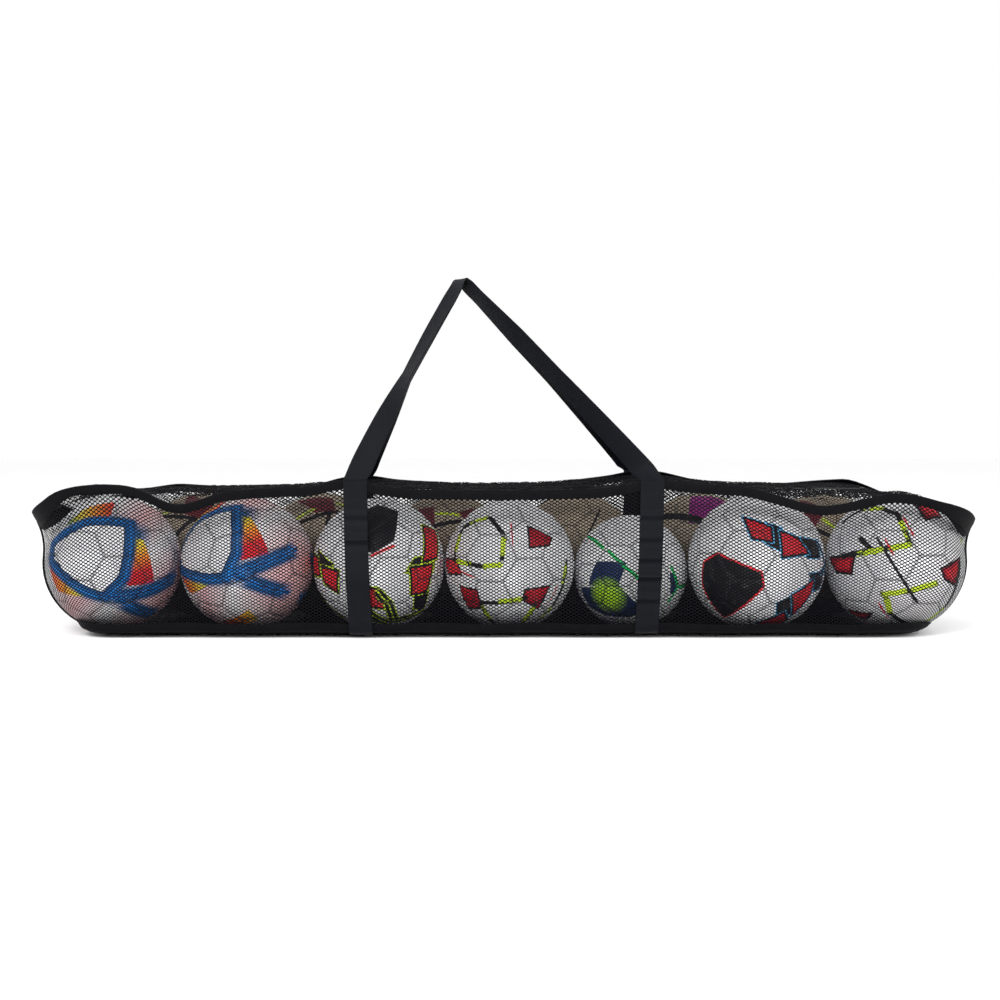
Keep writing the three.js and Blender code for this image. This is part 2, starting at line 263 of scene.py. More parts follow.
def inside(tree, point, *corners):
    """How far a point of the ball lies within the panel between these corners."""
    ends = [toward(*c) for c in corners]
    middle = sum(ends, Vector()).normalized()
    least = None
    for a, b in zip(ends, ends[1:] + ends[:1]):
        side = a.cross(b).normalized()
        if side.dot(middle) < 0:
            side = -side
        depth = dot(tree, point, side)
        least = depth if least is None else calc(tree, "MINIMUM", least, depth)
    return least


def stripe(tree, point, start, end, width):
    """The same for a thin printed line between two points."""
    a, b = toward(*start), toward(*end)
    off = calc(tree, "ABSOLUTE", dot(tree, point, a.cross(b).normalized()))
    middle = (a + b).normalized()
    along = calc(tree, "SUBTRACT", dot(tree, point, middle), a.dot(middle) - 0.01)
    return calc(tree, "MINIMUM", calc(tree, "SUBTRACT", width, off), along)


def disc(tree, point, centre, radius):
    return calc(tree, "SUBTRACT", dot(tree, point, toward(*centre)), math.cos(radius))


def paint(tree, under, colour, depth, border=0.0, soft=0.008):
    """Prints a colour where depth is over minus the border."""
    share = calc(tree, "ADD", depth, border)
    share = calc(tree, "MULTIPLY", share, 1 / soft, clamp=True)
    return mix(tree, share, under, colour)


def fade(tree, point, direction, low, high, *colours):
    """A blend of inks across the ball from low to high along a direction."""
    share = calc(tree, "SUBTRACT", dot(tree, point, direction), low)
    share = calc(tree, "DIVIDE", share, high - low, clamp=True)
    ramp = add_node(tree, "ShaderNodeValToRGB")
    tree.links.new(share, ramp.inputs["Fac"])
    stops = ramp.color_ramp.elements
    stops[0].position, stops[0].color = 0, colours[0]
    stops[1].position, stops[1].color = 1, colours[-1]
    for number, colour in enumerate(colours[1:-1], 1):
        stops.new(number / (len(colours) - 1)).color = colour
    return ramp.outputs["Color"]


def patches(tree, p, look, inks, *outlines):
    """Printed patches of one make: their inks from the outer border inwards."""
    for corners in outlines:
        depth = inside(tree, p, *corners)
        for ink, border in inks:
            look = paint(tree, look, ink, depth, border)
    return look


def lines(tree, p, look, ink, width, *routes):
    """Printed lines of one ink and half width, each through its points."""
    for route in routes:
        for start, end in zip(route, route[1:]):
            look = paint(tree, look, ink, stripe(tree, p, start, end, width))
    return look


WHITE = (0.86, 0.86, 0.88, 1)
BLACK = (0.004, 0.004, 0.006, 1)
NAVY = (0.006, 0.025, 0.1, 1)
DEEP_BLUE = (0.008, 0.1, 0.3, 1)
AZURE = (0.01, 0.2, 0.62, 1)
SKY = (0.1, 0.45, 0.8, 1)
RED = (0.75, 0.02, 0.03, 1)
DARK_RED = (0.6135, 0.0151, 0.0265, 1)
MAROON = (0.36, 0.006, 0.02, 1)
LIME = (0.6, 0.8, 0.03, 1)
GREEN = (0.03, 0.3, 0.08, 1)
ORANGE = (0.9, 0.28, 0.03, 1)
YELLOW = (0.85, 0.68, 0.06, 1)
PINK = (0.85, 0.5, 0.52, 1)
CREAM = (0.4, 0.33, 0.245, 1)
SPECTRUM = (GREEN, YELLOW, ORANGE, RED)


def rainbow_print(tree, p):
    """A blue ring with two arms on a pink haze, and three patches of blended inks."""
    look = fade(tree, p, (0.8, 0, -0.6), -0.9, 0.9, WHITE, WHITE, PINK, WHITE, PINK)
    outer = ((-0.95, 0.3), (-0.5, 0.72), (0.2, 0.8), (0.62, 0.72), (0.5, -0.2), (0.1, -0.6))
    shade = inside(tree, p, *outer, (-0.5, -0.3))
    look = paint(tree, look, (0.05, 0.16, 0.34, 1), shade, 0.06, 0.2)
    for way, low, high, inks, corners in (
        ((0.9, 0, 0.45), -0.2, 0.5, SPECTRUM, ((-0.56, 0.6), (-0.3, 0.84), (0.12, 0.93), (0.12, 0.68))),
        (
            (0.25, 0, -0.95), -0.4, 0.2, SPECTRUM,
            ((0.44, 0.45), (0.6, 0.4), (0.74, -0.25), (0.4, -0.26), (0.34, 0.0)),
        ),
        (
            (0.9, 0, 0.1), -0.75, -0.15, SPECTRUM[::-1],
            ((-0.8, 0.02), (-0.5, -0.02), (-0.1, -0.32), (-0.2, -0.42), (-0.66, -0.36)),
        ),
    ):
        blend = fade(tree, p, way, low, high, *inks)
        look = paint(tree, look, blend, inside(tree, p, *corners))
    arms = (((0.12, -0.42), (0.97, -0.16)), ((0.26, -0.46), (0.66, -0.74)))
    for start, end in arms:
        look = paint(tree, look, DEEP_BLUE, stripe(tree, p, start, end, 0.16), 0, 0.07)
    ring = ((-0.7, 0.3), (-0.2, 0.6), (0.34, 0.58), (0.36, 0.2), (0.3, -0.1), (0.07, -0.34))
    body = inside(tree, p, *ring, (-0.14, -0.28), (-0.7, 0.12))
    look = paint(tree, look, DEEP_BLUE, body, 0.2, 0.05)
    look = paint(tree, look, AZURE, body, 0.12)
    look = paint(tree, look, DEEP_BLUE, body, 0.09)
    for start, end in arms:
        look = paint(tree, look, AZURE, stripe(tree, p, start, end, 0.05), 0, 0.03)
        look = paint(tree, look, NAVY, stripe(tree, p, start, end, 0.014))
    look = paint(tree, look, NAVY, body, 0.02)
    look = paint(tree, look, WHITE, body)
    foot = inside(tree, p, (-0.45, -0.82), (0.12, -0.86), (0.1, -0.97), (-0.3, -0.94))
    return paint(tree, look, fade(tree, p, (1, 0, 0), -0.4, 0.2, RED, ORANGE, YELLOW), foot)


def badge_print(tree, p):
    """Red and black patches edged in black and lime, lime curves, and a black badge above."""
    edging = [(LIME, 0.055), (BLACK, 0.036)]
    look = patches(
        tree, p, WHITE, [*edging, (BLACK, 0)],
        ((0.6, 0.12), (0.86, 0.16), (0.84, -0.02), (0.52, -0.02)),
        ((0.6, -0.25), (0.76, -0.3), (0.68, -0.64), (0.58, -0.6)),
        ((-0.88, 0.22), (-0.66, 0.05), (-0.72, -0.02), (-0.86, 0.0)),
    )
    look = patches(
        tree, p, look, [*edging, (RED, 0)],
        ((0.7, 0.59), (0.86, 0.5), (0.89, 0.14), (0.72, 0.1)),
        ((0.54, 0.0), (0.83, 0.03), (0.74, -0.36), (0.55, -0.38)),
        ((-0.18, -0.28), (0.05, -0.3), (0.17, -0.58), (-0.16, -0.54)),
        ((-0.98, 0.16), (-0.88, 0.12), (-0.84, -0.12), (-0.95, -0.12)),
        ((-0.8, 0.0), (-0.55, -0.05), (-0.57, -0.34), (-0.76, -0.22)),
    )
    for route in (
        ((0.06, -0.34), (0.2, -0.52)),
        ((0.2, -0.5), (0.26, -0.76)),
        ((0.2, -0.8), (0.7, -0.66)),
        ((-0.86, -0.46), (-0.5, -0.78)),
        ((-0.2, -0.56), (0.16, -0.84)),
    ):
        for ink, width in ((LIME, 0.085), (BLACK, 0.066), (LIME, 0.016)):
            look = lines(tree, p, look, ink, width, route)
    badge = ((-0.32, 0.74), (0.0, 0.92), (0.33, 0.82), (0.3, 0.42), (-0.02, 0.22), (-0.32, 0.4))
    look = patches(tree, p, look, [(BLACK, 0)], badge)
    return lines(tree, p, look, RED, 0.026, ((-0.02, 0.2), (0.28, 0.34)))


def angular_print(tree, p):
    """Black angular lines with lime lengths, and four maroon patches."""
    red = fade(tree, p, (0, 0, 1), -0.6, 0.5, MAROON, RED, MAROON)
    look = patches(
        tree, p, WHITE, [(BLACK, 0.03), (red, 0)],
        ((0.28, 0.62), (0.62, 0.46), (0.58, 0.36), (0.3, 0.34)),
        ((-0.74, -0.28), (-0.5, -0.32), (-0.42, -0.58), (-0.62, -0.62)),
        ((0.24, -0.3), (0.58, -0.26), (0.42, -0.6), (0.2, -0.44)),
        ((-0.98, 0.1), (-0.8, 0.12), (-0.74, -0.08), (-0.94, -0.1)),
    )
    look = lines(
        tree, p, look, BLACK, 0.038,
        ((-0.84, 0.12), (-0.7, 0.6), (-0.3, 0.76), (-0.08, 0.5), (-0.12, 0.16)),
        ((-0.84, 0.12), (-0.36, 0.04)),
        ((-0.44, -0.5), (0.26, -0.42)),
        ((-0.44, -0.52), (-0.2, -0.9)),
        ((0.4, -0.5), (0.1, -0.92)),
        ((0.86, 0.1), (0.7, -0.5), (0.4, -0.84)),
    )
    look = lines(
        tree, p, look, LIME, 0.042,
        ((-0.8, 0.3), (-0.76, 0.46)),
        ((-0.56, 0.68), (-0.38, 0.75)),
        ((-0.78, 0.1), (-0.62, 0.08)),
        ((-0.36, 0.06), (-0.14, 0.08)),
        ((-0.1, 0.44), (-0.11, 0.26)),
        ((-0.14, -0.47), (0.14, -0.44)),
        ((-0.4, -0.6), (-0.3, -0.76)),
        ((0.34, -0.6), (0.2, -0.8)),
        ((0.84, 0.0), (0.8, -0.2)),
        ((0.62, -0.62), (0.5, -0.76)),
    )
    return lines(
        tree, p, look, RED, 0.014,
        ((0.02, 0.66), (0.04, 0.4)),
        ((-0.74, -0.04), (-0.52, -0.12)),
        ((0.7, -0.3), (0.6, -0.5)),
    )


def crossed_print(tree, p):
    """The same make of print in another lie: a long crossing line and a low loop."""
    look = patches(
        tree, p, WHITE, [(BLACK, 0.035), (MAROON, 0), (RED, -0.04)],
        ((0.2, 0.85), (0.5, 0.81), (0.54, 0.7), (0.26, 0.68)),
        ((-0.98, 0.07), (-0.75, 0.14), (-0.78, -0.1), (-0.93, -0.1)),
        ((0.44, -0.02), (0.76, 0.1), (0.68, -0.25), (0.5, -0.16)),
        ((-0.7, -0.68), (-0.48, -0.7), (-0.5, -0.8), (-0.66, -0.74)),
    )
    upper = ((-0.79, 0.6), (-0.45, 0.83), (-0.14, 0.74), (-0.03, 0.33), (-0.34, 0.27), (-0.88, 0.12))
    lower = ((-0.34, -0.42), (-0.23, -0.68), (0.11, -0.86), (0.3, -0.85), (0.62, -0.55), (0.76, 0.05))
    level = ((-0.4, -0.38), (0.37, -0.22))
    look = lines(tree, p, look, BLACK, 0.042, upper, level, lower, ((-0.66, 0.4), (-0.5, 0.2)))
    look = lines(
        tree, p, look, BLACK, 0.024, ((-0.46, 0.42), (0.12, -0.52)), ((0.85, 0.4), (0.95, -0.1))
    )
    look = lines(
        tree, p, look, LIME, 0.046,
        ((-0.5, 0.79), (-0.34, 0.82)),
        ((-0.11, 0.62), (-0.06, 0.45)),
        ((-0.05, 0.32), (-0.28, 0.28)),
        ((-0.42, 0.25), (-0.7, 0.17)),
        ((-0.36, -0.38), (-0.1, -0.33)),
        ((0.02, -0.3), (0.34, -0.22)),
        ((-0.31, -0.48), (-0.26, -0.62)),
        ((0.12, -0.86), (0.26, -0.85)),
        ((0.38, -0.79), (0.55, -0.64)),
        ((0.83, 0.5), (0.88, 0.3)),
    )
    return lines(
        tree, p, look, RED, 0.018,
        ((-0.06, 0.68), (0.02, 0.48)),
        ((-0.4, -0.54), (-0.26, -0.72)),
        ((-0.34, 0.36), (-0.28, 0.22)),
    )


def small_print(tree, p):
    """Navy patches with a round yellow-green glow over them, and green broken lines."""
    look = patches(
        tree, p, WHITE, [(NAVY, 0)],
        ((-0.65, 0.24), (-0.14, 0.24), (-0.28, -0.15), (-0.78, -0.2)),
        ((-0.9, -0.24), (-0.3, -0.12), (0.22, -0.62), (-0.1, -0.74), (-0.75, -0.6)),
    )
    glow = disc(tree, p, (-0.47, -0.36), 0.38)
    look = paint(tree, look, (0.4, 0.72, 0.02, 1), glow, 0.0, 0.06)
    edge_patch = ((0.6, 0.06), (0.74, -0.02), (0.8, -0.22), (0.62, -0.36))
    look = patches(tree, p, look, [(NAVY, 0)], edge_patch)
    return lines(
        tree, p, look, (0.0, 0.5, 0.1, 1), 0.034,
        ((-0.76, 0.64), (-0.53, 0.47)),
        ((-0.46, 0.42), (-0.25, 0.24)),
        ((-0.2, 0.18), (0.2, -0.15)),
        ((0.64, 0.14), (0.76, -0.22), (0.96, -0.2)),
        ((0.76, -0.22), (0.6, -0.46)),
    )


def panel_print(tree, p):
    """A black shield edged in red, and red and black patches edged in blue."""
    shield = ((-0.84, 0.04), (-0.68, 0.18), (-0.1, -0.06), (-0.06, -0.26), (-0.53, -0.76), (-0.84, -0.3))
    look = patches(tree, p, WHITE, [(RED, 0.03), (BLACK, 0)], shield)
    edging = [(SKY, 0.045), (BLACK, 0.03)]
    look = patches(
        tree, p, look, [*edging, (BLACK, 0)],
        ((0.03, 0.6), (0.2, 0.54), (0.2, 0.25), (0.0, 0.36)),
        ((0.43, 0.4), (0.8, 0.32), (0.8, 0.13), (0.6, 0.15)),
        ((0.67, -0.12), (0.9, -0.12), (0.85, -0.32), (0.68, -0.34)),
        ((0.18, -0.52), (0.38, -0.42), (0.4, -0.68), (0.2, -0.7)),
    )
    look = patches(
        tree, p, look, [*edging, (DARK_RED, 0)],
        ((-0.28, 0.68), (0.06, 0.56), (0.06, 0.38), (-0.2, 0.42)),
        ((0.2, 0.5), (0.45, 0.4), (0.6, 0.2), (0.22, 0.16)),
        ((0.38, -0.4), (0.7, -0.2), (0.67, -0.4), (0.43, -0.7)),
        ((-0.06, -0.82), (0.28, -0.66), (0.36, -0.8), (0.0, -0.96)),
    )
    for route in (((0.8, 0.32), (0.94, -0.16)), ((0.84, -0.1), (0.98, 0.06))):
        look = lines(tree, p, look, SKY, 0.05, route)
        look = lines(tree, p, look, BLACK, 0.035, route)
    return look


def old_cream_with_painted_shade(tree, p):
    """Old unpainted leather, with painted shade that darkens it towards the bottom of the ball."""
    # Painted shade: these two dark tones stand in for the shadow over the ball's lower half.
    painted_shade_dark, painted_shade_mid = (0.08, 0.06, 0.04, 1), (0.15, 0.115, 0.08, 1)
    return fade(tree, p, (0, 0, 1), -0.7, 0.45, painted_shade_dark, painted_shade_mid, CREAM)


def faded_print(tree, p):
    look = patches(
        tree, p, old_cream_with_painted_shade(tree, p), [((0.16, 0.02, 0.03, 1), 0)],
        ((-0.5, 0.85), (0.0, 0.86), (-0.1, 0.62), (-0.4, 0.6)),
        ((0.3, 0.66), (0.62, 0.6), (0.7, 0.3), (0.4, 0.42)),
    )
    look = lines(
        tree, p, look, BLACK, 0.04,
        ((-0.9, 0.25), (-0.2, 0.6), (0.35, 0.5), (0.85, 0.2)),
        ((-0.4, 0.1), (-0.2, 0.6)),
        ((0.5, -0.2), (0.35, 0.5)),
    )
    return lines(
        tree, p, look, LIME, 0.03, ((0.0, 0.75), (0.3, 0.62)), ((-0.7, 0.5), (-0.4, 0.68))
    )


def violet_print(tree, p):
    outline = ((-0.3, 0.92), (0.2, 0.95), (0.4, 0.62), (-0.35, 0.5))
    look = patches(tree, p, old_cream_with_painted_shade(tree, p), [((0.3, 0.02, 0.22, 1), 0)], outline)
    return lines(tree, p, look, BLACK, 0.07, ((-0.8, 0.5), (0.0, 0.55), (0.8, 0.3)))


def plain_print(tree, p):
    return lines(tree, p, old_cream_with_painted_shade(tree, p), BLACK, 0.02, ((0.1, 0.3), (0.35, 0.75)))


def leather(name, print_on):
    material, tree, shader = new_material(name)
    point = add_node(tree, "ShaderNodeAttribute", attribute_name="skin").outputs["Vector"]
    parts = add_node(tree, "ShaderNodeSeparateXYZ")
    tree.links.new(point, parts.inputs[0])
    folded = add_node(tree, "ShaderNodeCombineXYZ")
    feed(tree, folded.inputs["X"], parts.outputs["X"])
    away = calc(tree, "ABSOLUTE", parts.outputs["Y"])
    feed(tree, folded.inputs["Y"], calc(tree, "MULTIPLY", away, -1.0))
    feed(tree, folded.inputs["Z"], parts.outputs["Z"])
    look = print_on(tree, folded.outputs[0])
    scuffs = calc(tree, "MULTIPLY_ADD", noise(tree, point, 7, 6), 0.6, -0.34, clamp=True)
    look = mix(tree, scuffs, look, (0.42, 0.4, 0.38, 1))
    seam = add_node(tree, "ShaderNodeAttribute", attribute_name="seam").outputs["Fac"]
    look = mix(tree, calc(tree, "MULTIPLY", seam, 0.65), look, (0.03, 0.03, 0.035, 1))
    feed(tree, shader.inputs["Base Color"], look)
    rough = calc(tree, "MULTIPLY_ADD", noise(tree, point, 22), 0.25, 0.32)
    feed(tree, shader.inputs["Roughness"], rough)
    grain = add_node(tree, "ShaderNodeTexVoronoi")
    feed(tree, grain.inputs["Vector"], point)
    grain.inputs["Scale"].default_value = 110
    shader.inputs["Specular IOR Level"].default_value = 0.22
    emboss(tree, shader, grain.outputs["Distance"], 0.25, 0.0004)
    return material


finishes = {
    "ball_rainbow": leather("rainbow print leather", rainbow_print),
    "ball_badge": leather("badge print leather", badge_print),
    "ball_angular": leather("angular print leather", angular_print),
    "crossed": leather("crossed print leather", crossed_print),
    "ball_small": leather("green print leather", small_print),
    "ball_panel": leather("shield print leather", panel_print),
    "ball_cream": leather("faded print leather", faded_print),
    "violet": leather("violet print leather", violet_print),
    "plain": leather("plain cream leather", plain_print),
}
# Node, diameter, leather, slot, and how far the ball is rolled about X, Y and Z in degrees.
resting = {}
VALVE_POINTS = 100
for ball_name, across, finish, slot, turned in (
    ("ball_front_1", 0.222, "ball_rainbow", "ball_rainbow", (0, 0, 0)),
    ("ball_front_2", 0.220, "ball_rainbow", "ball_rainbow", (-15, -22, -18)),
    ("ball_front_3", 0.219, "ball_badge", "ball_badge", (0, 0, 0)),
    ("ball_front_4", 0.216, "ball_angular", "ball_angular", (0, 0, 0)),
    ("ball_front_5", 0.190, "ball_small", "ball_small", (0, 0, 0)),
    ("ball_front_6", 0.226, "ball_panel", "ball_panel", (0, 0, 0)),
    ("ball_front_7", 0.226, "crossed", "ball_angular", (0, 0, 0)),
    ("ball_back_1", 0.220, "ball_cream", "ball_cream", (0, 20, 0)),
    ("ball_back_2", 0.220, "ball_cream", "ball_cream", (-10, 0, 30)),
    ("ball_back_3", 0.220, "ball_cream", "ball_cream", (0, -20, 10)),
    ("ball_back_4", 0.220, "plain", "ball_cream", (0, 0, 0)),
    ("ball_back_5", 0.220, "violet", "ball_cream", (0, 8, 0)),
    ("ball_back_6", 0.220, "ball_cream", "ball_cream", (10, 12, -20)),
):
    low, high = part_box(ball_name)
    middle = (low + high) / 2
    middle.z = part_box("base_panel")[1].z + 0.0003 + across / 2
    ball = pattern_ball.copy()
    ball.data = pattern_ball.data.copy()
    ball.name = ball.data.name = "football_" + ball_name[5:]
    bpy.context.collection.objects.link(ball)
    turn = Euler([math.radians(a) for a in turned]).to_matrix().to_4x4()
    size = Matrix.Diagonal((across / 2, across / 2, across / 2, 1))
    ball.data.transform(Matrix.Translation(middle) @ turn @ size)
    ball.data.materials.clear()
    ball.data.materials.append(finishes[finish])
    ball.data.materials.append(rubber)
    first_of_valve = len(ball.data.vertices) - VALVE_POINTS
    for face in ball.data.polygons:
        face.material_index = int(min(face.vertices) >= first_of_valve)
    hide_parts(ball_name)
    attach(ball, "bag")
    resting[ball_name] = (np.array(middle), across / 2)
bpy.data.objects.remove(pattern_ball)

# ---- How the cloth lies -------------------------------------------------------------------
# Every panel is cut flat and sewn to its neighbours along a top edge and a bottom edge. The
# edges run where the balls and the straps hold them, and the net between them is pulled over
# the balls, each point settling between its neighbours.


def on_plan(s, length, depth, corner):
    """Plan point at a distance from the middle of a long side, round towards an end."""
    straight, turn = length - corner, corner * math.pi / 2
    if s <= straight:
        return s, depth
    if s <= straight + turn:
        a = (s - straight) / corner
        return straight + corner * math.sin(a), depth - corner * (1 - math.cos(a))
    return length, max(0.0, depth - corner - (s - straight - turn))


TOP_LENGTH, TOP_DEPTH, TOP_CORNER = 0.773, 0.213, 0.1
BASE_LENGTH, BASE_DEPTH, BASE_CORNER = 0.695, 0.188, 0.06
TOP_QUARTER = TOP_LENGTH + TOP_DEPTH + TOP_CORNER * (math.pi / 2 - 2)
BASE_QUARTER = BASE_LENGTH + BASE_DEPTH + BASE_CORNER * (math.pi / 2 - 2)
QUARTER = 0.956  # half of a long panel and half of an end panel
PARALLEL = 0.56  # up to here from the middle, the net's columns stand upright
WALL_HALF = 0.830  # from the middle of a long panel to its seam with the end panel
WALL_TALL = 0.236
END_LENGTH = 0.252

# Height of the top edge in millimetres at distances from the middle of the bag, for the front
# (-1) or back and the left (-1) or right. It dips between the end balls, rises where a strap
# lifts it, and droops at the ears.
EDGE = {
    (-1, -1): (
        (0, 236), (150, 238), (205, 245), (236, 255), (268, 253), (300, 243), (400, 239),
        (455, 233), (484, 221), (515, 213), (545, 219), (568, 235), (600, 245), (642, 247),
        (686, 243), (719, 232), (750, 213), (790, 199), (840, 192), (905, 198), (967, 207),
    ),
    (-1, 1): (
        (0, 236), (150, 239), (205, 247), (236, 255), (268, 252), (300, 247), (382, 243),
        (433, 230), (482, 215), (509, 211), (540, 215), (582, 225), (618, 233), (663, 228),
        (694, 219), (730, 209), (770, 196), (805, 184), (850, 182), (905, 196), (967, 207),
    ),
    (1, -1): (
        (0, 236), (66, 233), (150, 239), (205, 243), (246, 250), (300, 247), (352, 232),
        (392, 227), (511, 229), (609, 235), (684, 224), (730, 207), (790, 190), (860, 190),
        (967, 207),
    ),
    (1, 1): (
        (0, 234), (93, 237), (150, 244), (198, 250), (245, 260), (292, 258), (333, 248),
        (383, 236), (451, 234), (529, 236), (589, 241), (645, 244), (690, 228), (730, 207),
        (790, 190), (860, 190), (967, 207),
    ),
}


def top_edge(side, hand, s):
    """A point of the top edge, front or back, left or right of the middle."""
    x, y = on_plan(s, TOP_LENGTH, TOP_DEPTH, TOP_CORNER)
    far, tall = zip(*EDGE[side, hand])
    z = sum(np.interp(s * 1000 + k, far, tall) for k in (-12, -6, 0, 6, 12)) / 5000
    lift = math.exp(-(((s - 0.24) / 0.035) ** 2)) * 0.003
    return np.array((hand * x, side * (y + lift), z))


def bottom_edge(side, hand, s):
    x, y = on_plan(s, BASE_LENGTH, BASE_DEPTH, BASE_CORNER)
    z = 0.014 + 0.0015 * math.sin(s * 31 + hand + side)
    return np.array((hand * x, side * y, z))


def share_out(s, quarter):
    if s <= PARALLEL:
        return s
    return PARALLEL + (s - PARALLEL) * (quarter - PARALLEL) / (QUARTER - PARALLEL)


def stations(count, start, end):
    return [start + (end - start) * i / count for i in range(count + 1)]


long_cells, end_cells = 138, 22
loop = [(-1, s) for s in stations(long_cells, -WALL_HALF, WALL_HALF)][:-1]
loop += [(0, s) for s in stations(end_cells, -1, 1)][:-1]
loop += [(1, s) for s in stations(long_cells, WALL_HALF, -WALL_HALF)][:-1]
loop += [(2, s) for s in stations(end_cells, 1, -1)][:-1]
rows = 21
OUTSIDE = (0.78, 0.226, 0.06)  # length, depth and corner that the net starts from
wall = np.zeros((len(loop), rows, 3))
for column, (face, s) in enumerate(loop):
    if face in (-1, 1):
        side, hand, s = face, (1 if s >= 0 else -1), abs(s)
    else:
        hand = 1 if face == 0 else -1
        side = 1 if s > 0 else -1
        s = QUARTER - abs(s) * (QUARTER - WALL_HALF)
    high = top_edge(side, hand, share_out(s, TOP_QUARTER))
    low = bottom_edge(side, hand, share_out(s, BASE_QUARTER))
    for row in range(rows):
        t = row / (rows - 1)
        spot = low * (1 - t) + high * t
        x, y = on_plan(share_out(s, TOP_QUARTER), *OUTSIDE)
        out = np.array((hand * x, side * y, spot[2]))
        wall[column, row] = spot + (out - spot) * min(1, 1.25 * math.sin(math.pi * t))


def settle(cloth, held, bodies, rounds, closed, clear=0.0012):
    """Pulls the free points of a cloth between its held ones, over the balls."""
    free = ~held
    for _ in range(rounds):
        if closed:
            beside = np.roll(cloth, 1, 0) + np.roll(cloth, -1, 0)
        else:
            beside = np.concatenate((cloth[1:], cloth[-2:-1]))
            beside = beside + np.concatenate((cloth[1:2], cloth[:-1]))
        over = np.concatenate((cloth[:, 1:], cloth[:, -2:-1]), 1)
        under = np.concatenate((cloth[:, 1:2], cloth[:, :-1]), 1)
        cloth[free] = ((beside + over + under) / 4)[free]
        for centre, radius in bodies:
            away = cloth - centre
            reach = np.linalg.norm(away, axis=2)
            caught = free & (reach < radius + clear)
            stretch = (radius + clear) / reach[caught]
            cloth[caught] = centre + away[caught] * stretch[:, None]
    return cloth


held = np.zeros(wall.shape[:2], bool)
held[:, 0] = held[:, -1] = True
balls = list(resting.values())
wall = settle(wall, held, balls, rounds=500, closed=True)

ARC_END = TOP_LENGTH - TOP_CORNER + TOP_CORNER * math.pi / 2
top_cells, top_rows = 134, 37
top = np.zeros((top_cells + 1, top_rows, 3))
ZIP_HEIGHT = (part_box("zip_coil_front")[0].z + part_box("zip_coil_front")[1].z) / 2
ZIP_FROM, ZIP_TO = -0.731, 0.631  # the net is sewn to the zip between these
held = np.zeros(top.shape[:2], bool)
for column, s in enumerate(stations(top_cells, -ARC_END, ARC_END)):
    hand, s = (1 if s >= 0 else -1), abs(s)
    front, back = top_edge(-1, hand, s), top_edge(1, hand, s)
    for row in range(top_rows):
        t = row / (top_rows - 1)
        top[column, row] = front * (1 - t) + back * t
        top[column, row, 2] += 0.03 * math.sin(math.pi * t)
    if column in (0, top_cells):
        for row in range(top_rows):
            y = -1 + 2 * row / (top_rows - 1)
            s_end = TOP_QUARTER - abs(y) * (TOP_QUARTER - ARC_END)
            top[column, row] = top_edge(1 if y > 0 else -1, hand, s_end)
        held[column] = True
    elif ZIP_FROM < top[column, top_rows // 2, 0] < ZIP_TO:
        top[column, top_rows // 2, 1:] = 0, ZIP_HEIGHT
        held[column, top_rows // 2] = True
held[:, 0] = held[:, -1] = True
top = settle(top, held, balls, rounds=700, closed=False)

# ---- Net ----------------------------------------------------------------------------------
# Knotless polyester net: flat knots in staggered rows with two slanting strands up from each,
# which leave lens-shaped holes about 6 mm wide and 3 mm high. Front, back and two end panels.
KNOT_ACROSS, KNOT_UP = 0.0092, 0.002825
# Corners of a flat knot from its middle, in millimetres, anticlockwise from its left end.
KNOT = np.array(((-1.72, 0), (-1, -0.98), (1, -0.98), (1.72, 0), (1, 0.98), (-1, 0.98)))


def sampled(cloth, u, v):
    """Points of a cloth grid at shares of its length and height."""
    wide, tall = cloth.shape[0] - 1, cloth.shape[1] - 1
    a, b = np.clip(u, 0, 1) * wide, np.clip(v, 0, 1) * tall
    i = np.minimum(a.astype(int), wide - 1)
    j = np.minimum(b.astype(int), tall - 1)
    a, b = (a - i)[..., None], (b - j)[..., None]
    near = cloth[i, j] * (1 - a) + cloth[i + 1, j] * a
    far = cloth[i, j + 1] * (1 - a) + cloth[i + 1, j + 1] * a
    return near * (1 - b) + far * b


def knit(cloth, length, height, yarn=1.22):
    """A net of that flat size laid on a cloth: its points, and its knots and two slants of
    strand, each as faces with their share of the length."""
    across, up = round(length / KNOT_ACROSS), round(height / KNOT_UP)
    i, j = np.meshgrid(np.arange(across), np.arange(up + 1), indexing="ij")
    centre_u = (i + 0.25 + 0.5 * (j % 2)) / across
    centre_v = j / up
    half = KNOT * yarn / 1000
    u = centre_u[..., None] + half[:, 0] / length
    v = centre_v[..., None] + half[:, 1] / height
    points = sampled(cloth, u, v)
    number = (i * (up + 1) + j) * len(KNOT)
    groups = [((number[..., None] + np.arange(len(KNOT))).reshape(-1, 6), centre_u.reshape(-1))]
    for beside, own, other in (
        (i + (j % 2), (3, 4), (1, 0)),
        (i - 1 + (j % 2), (5, 0), (3, 2)),
    ):
        there = (beside >= 0) & (beside < across) & (j < up)
        above = (beside * (up + 1) + j + 1) * len(KNOT)
        strand = (number + own[0], above + other[0], above + other[1], number + own[1])
        groups.append((np.stack(strand, -1)[there], centre_u[there]))
    return points.reshape(-1, 3), groups


def mesh_piece(name, points, polygons, finish):
    """An object at the origin from points and lists of faces, without unused points."""
    used = np.unique(np.concatenate([p.reshape(-1) for p in polygons]))
    renumber = np.zeros(len(points), int)
    renumber[used] = np.arange(len(used))
    mesh = bpy.data.meshes.new(name)
    faces = [f for p in polygons for f in renumber[p].tolist()]
    mesh.from_pydata(points[used].tolist(), [], faces)
    mesh.materials.append(finish)
    piece = bpy.data.objects.new(name, mesh)
    bpy.context.collection.objects.link(piece)
    return piece


def net_piece(name, net, finish, start=-1.0, end=2.0):
    points, groups = net
    kept = [faces[(u >= start) & (u < end)] for faces, u in groups]
    return mesh_piece(name, points, kept, finish)


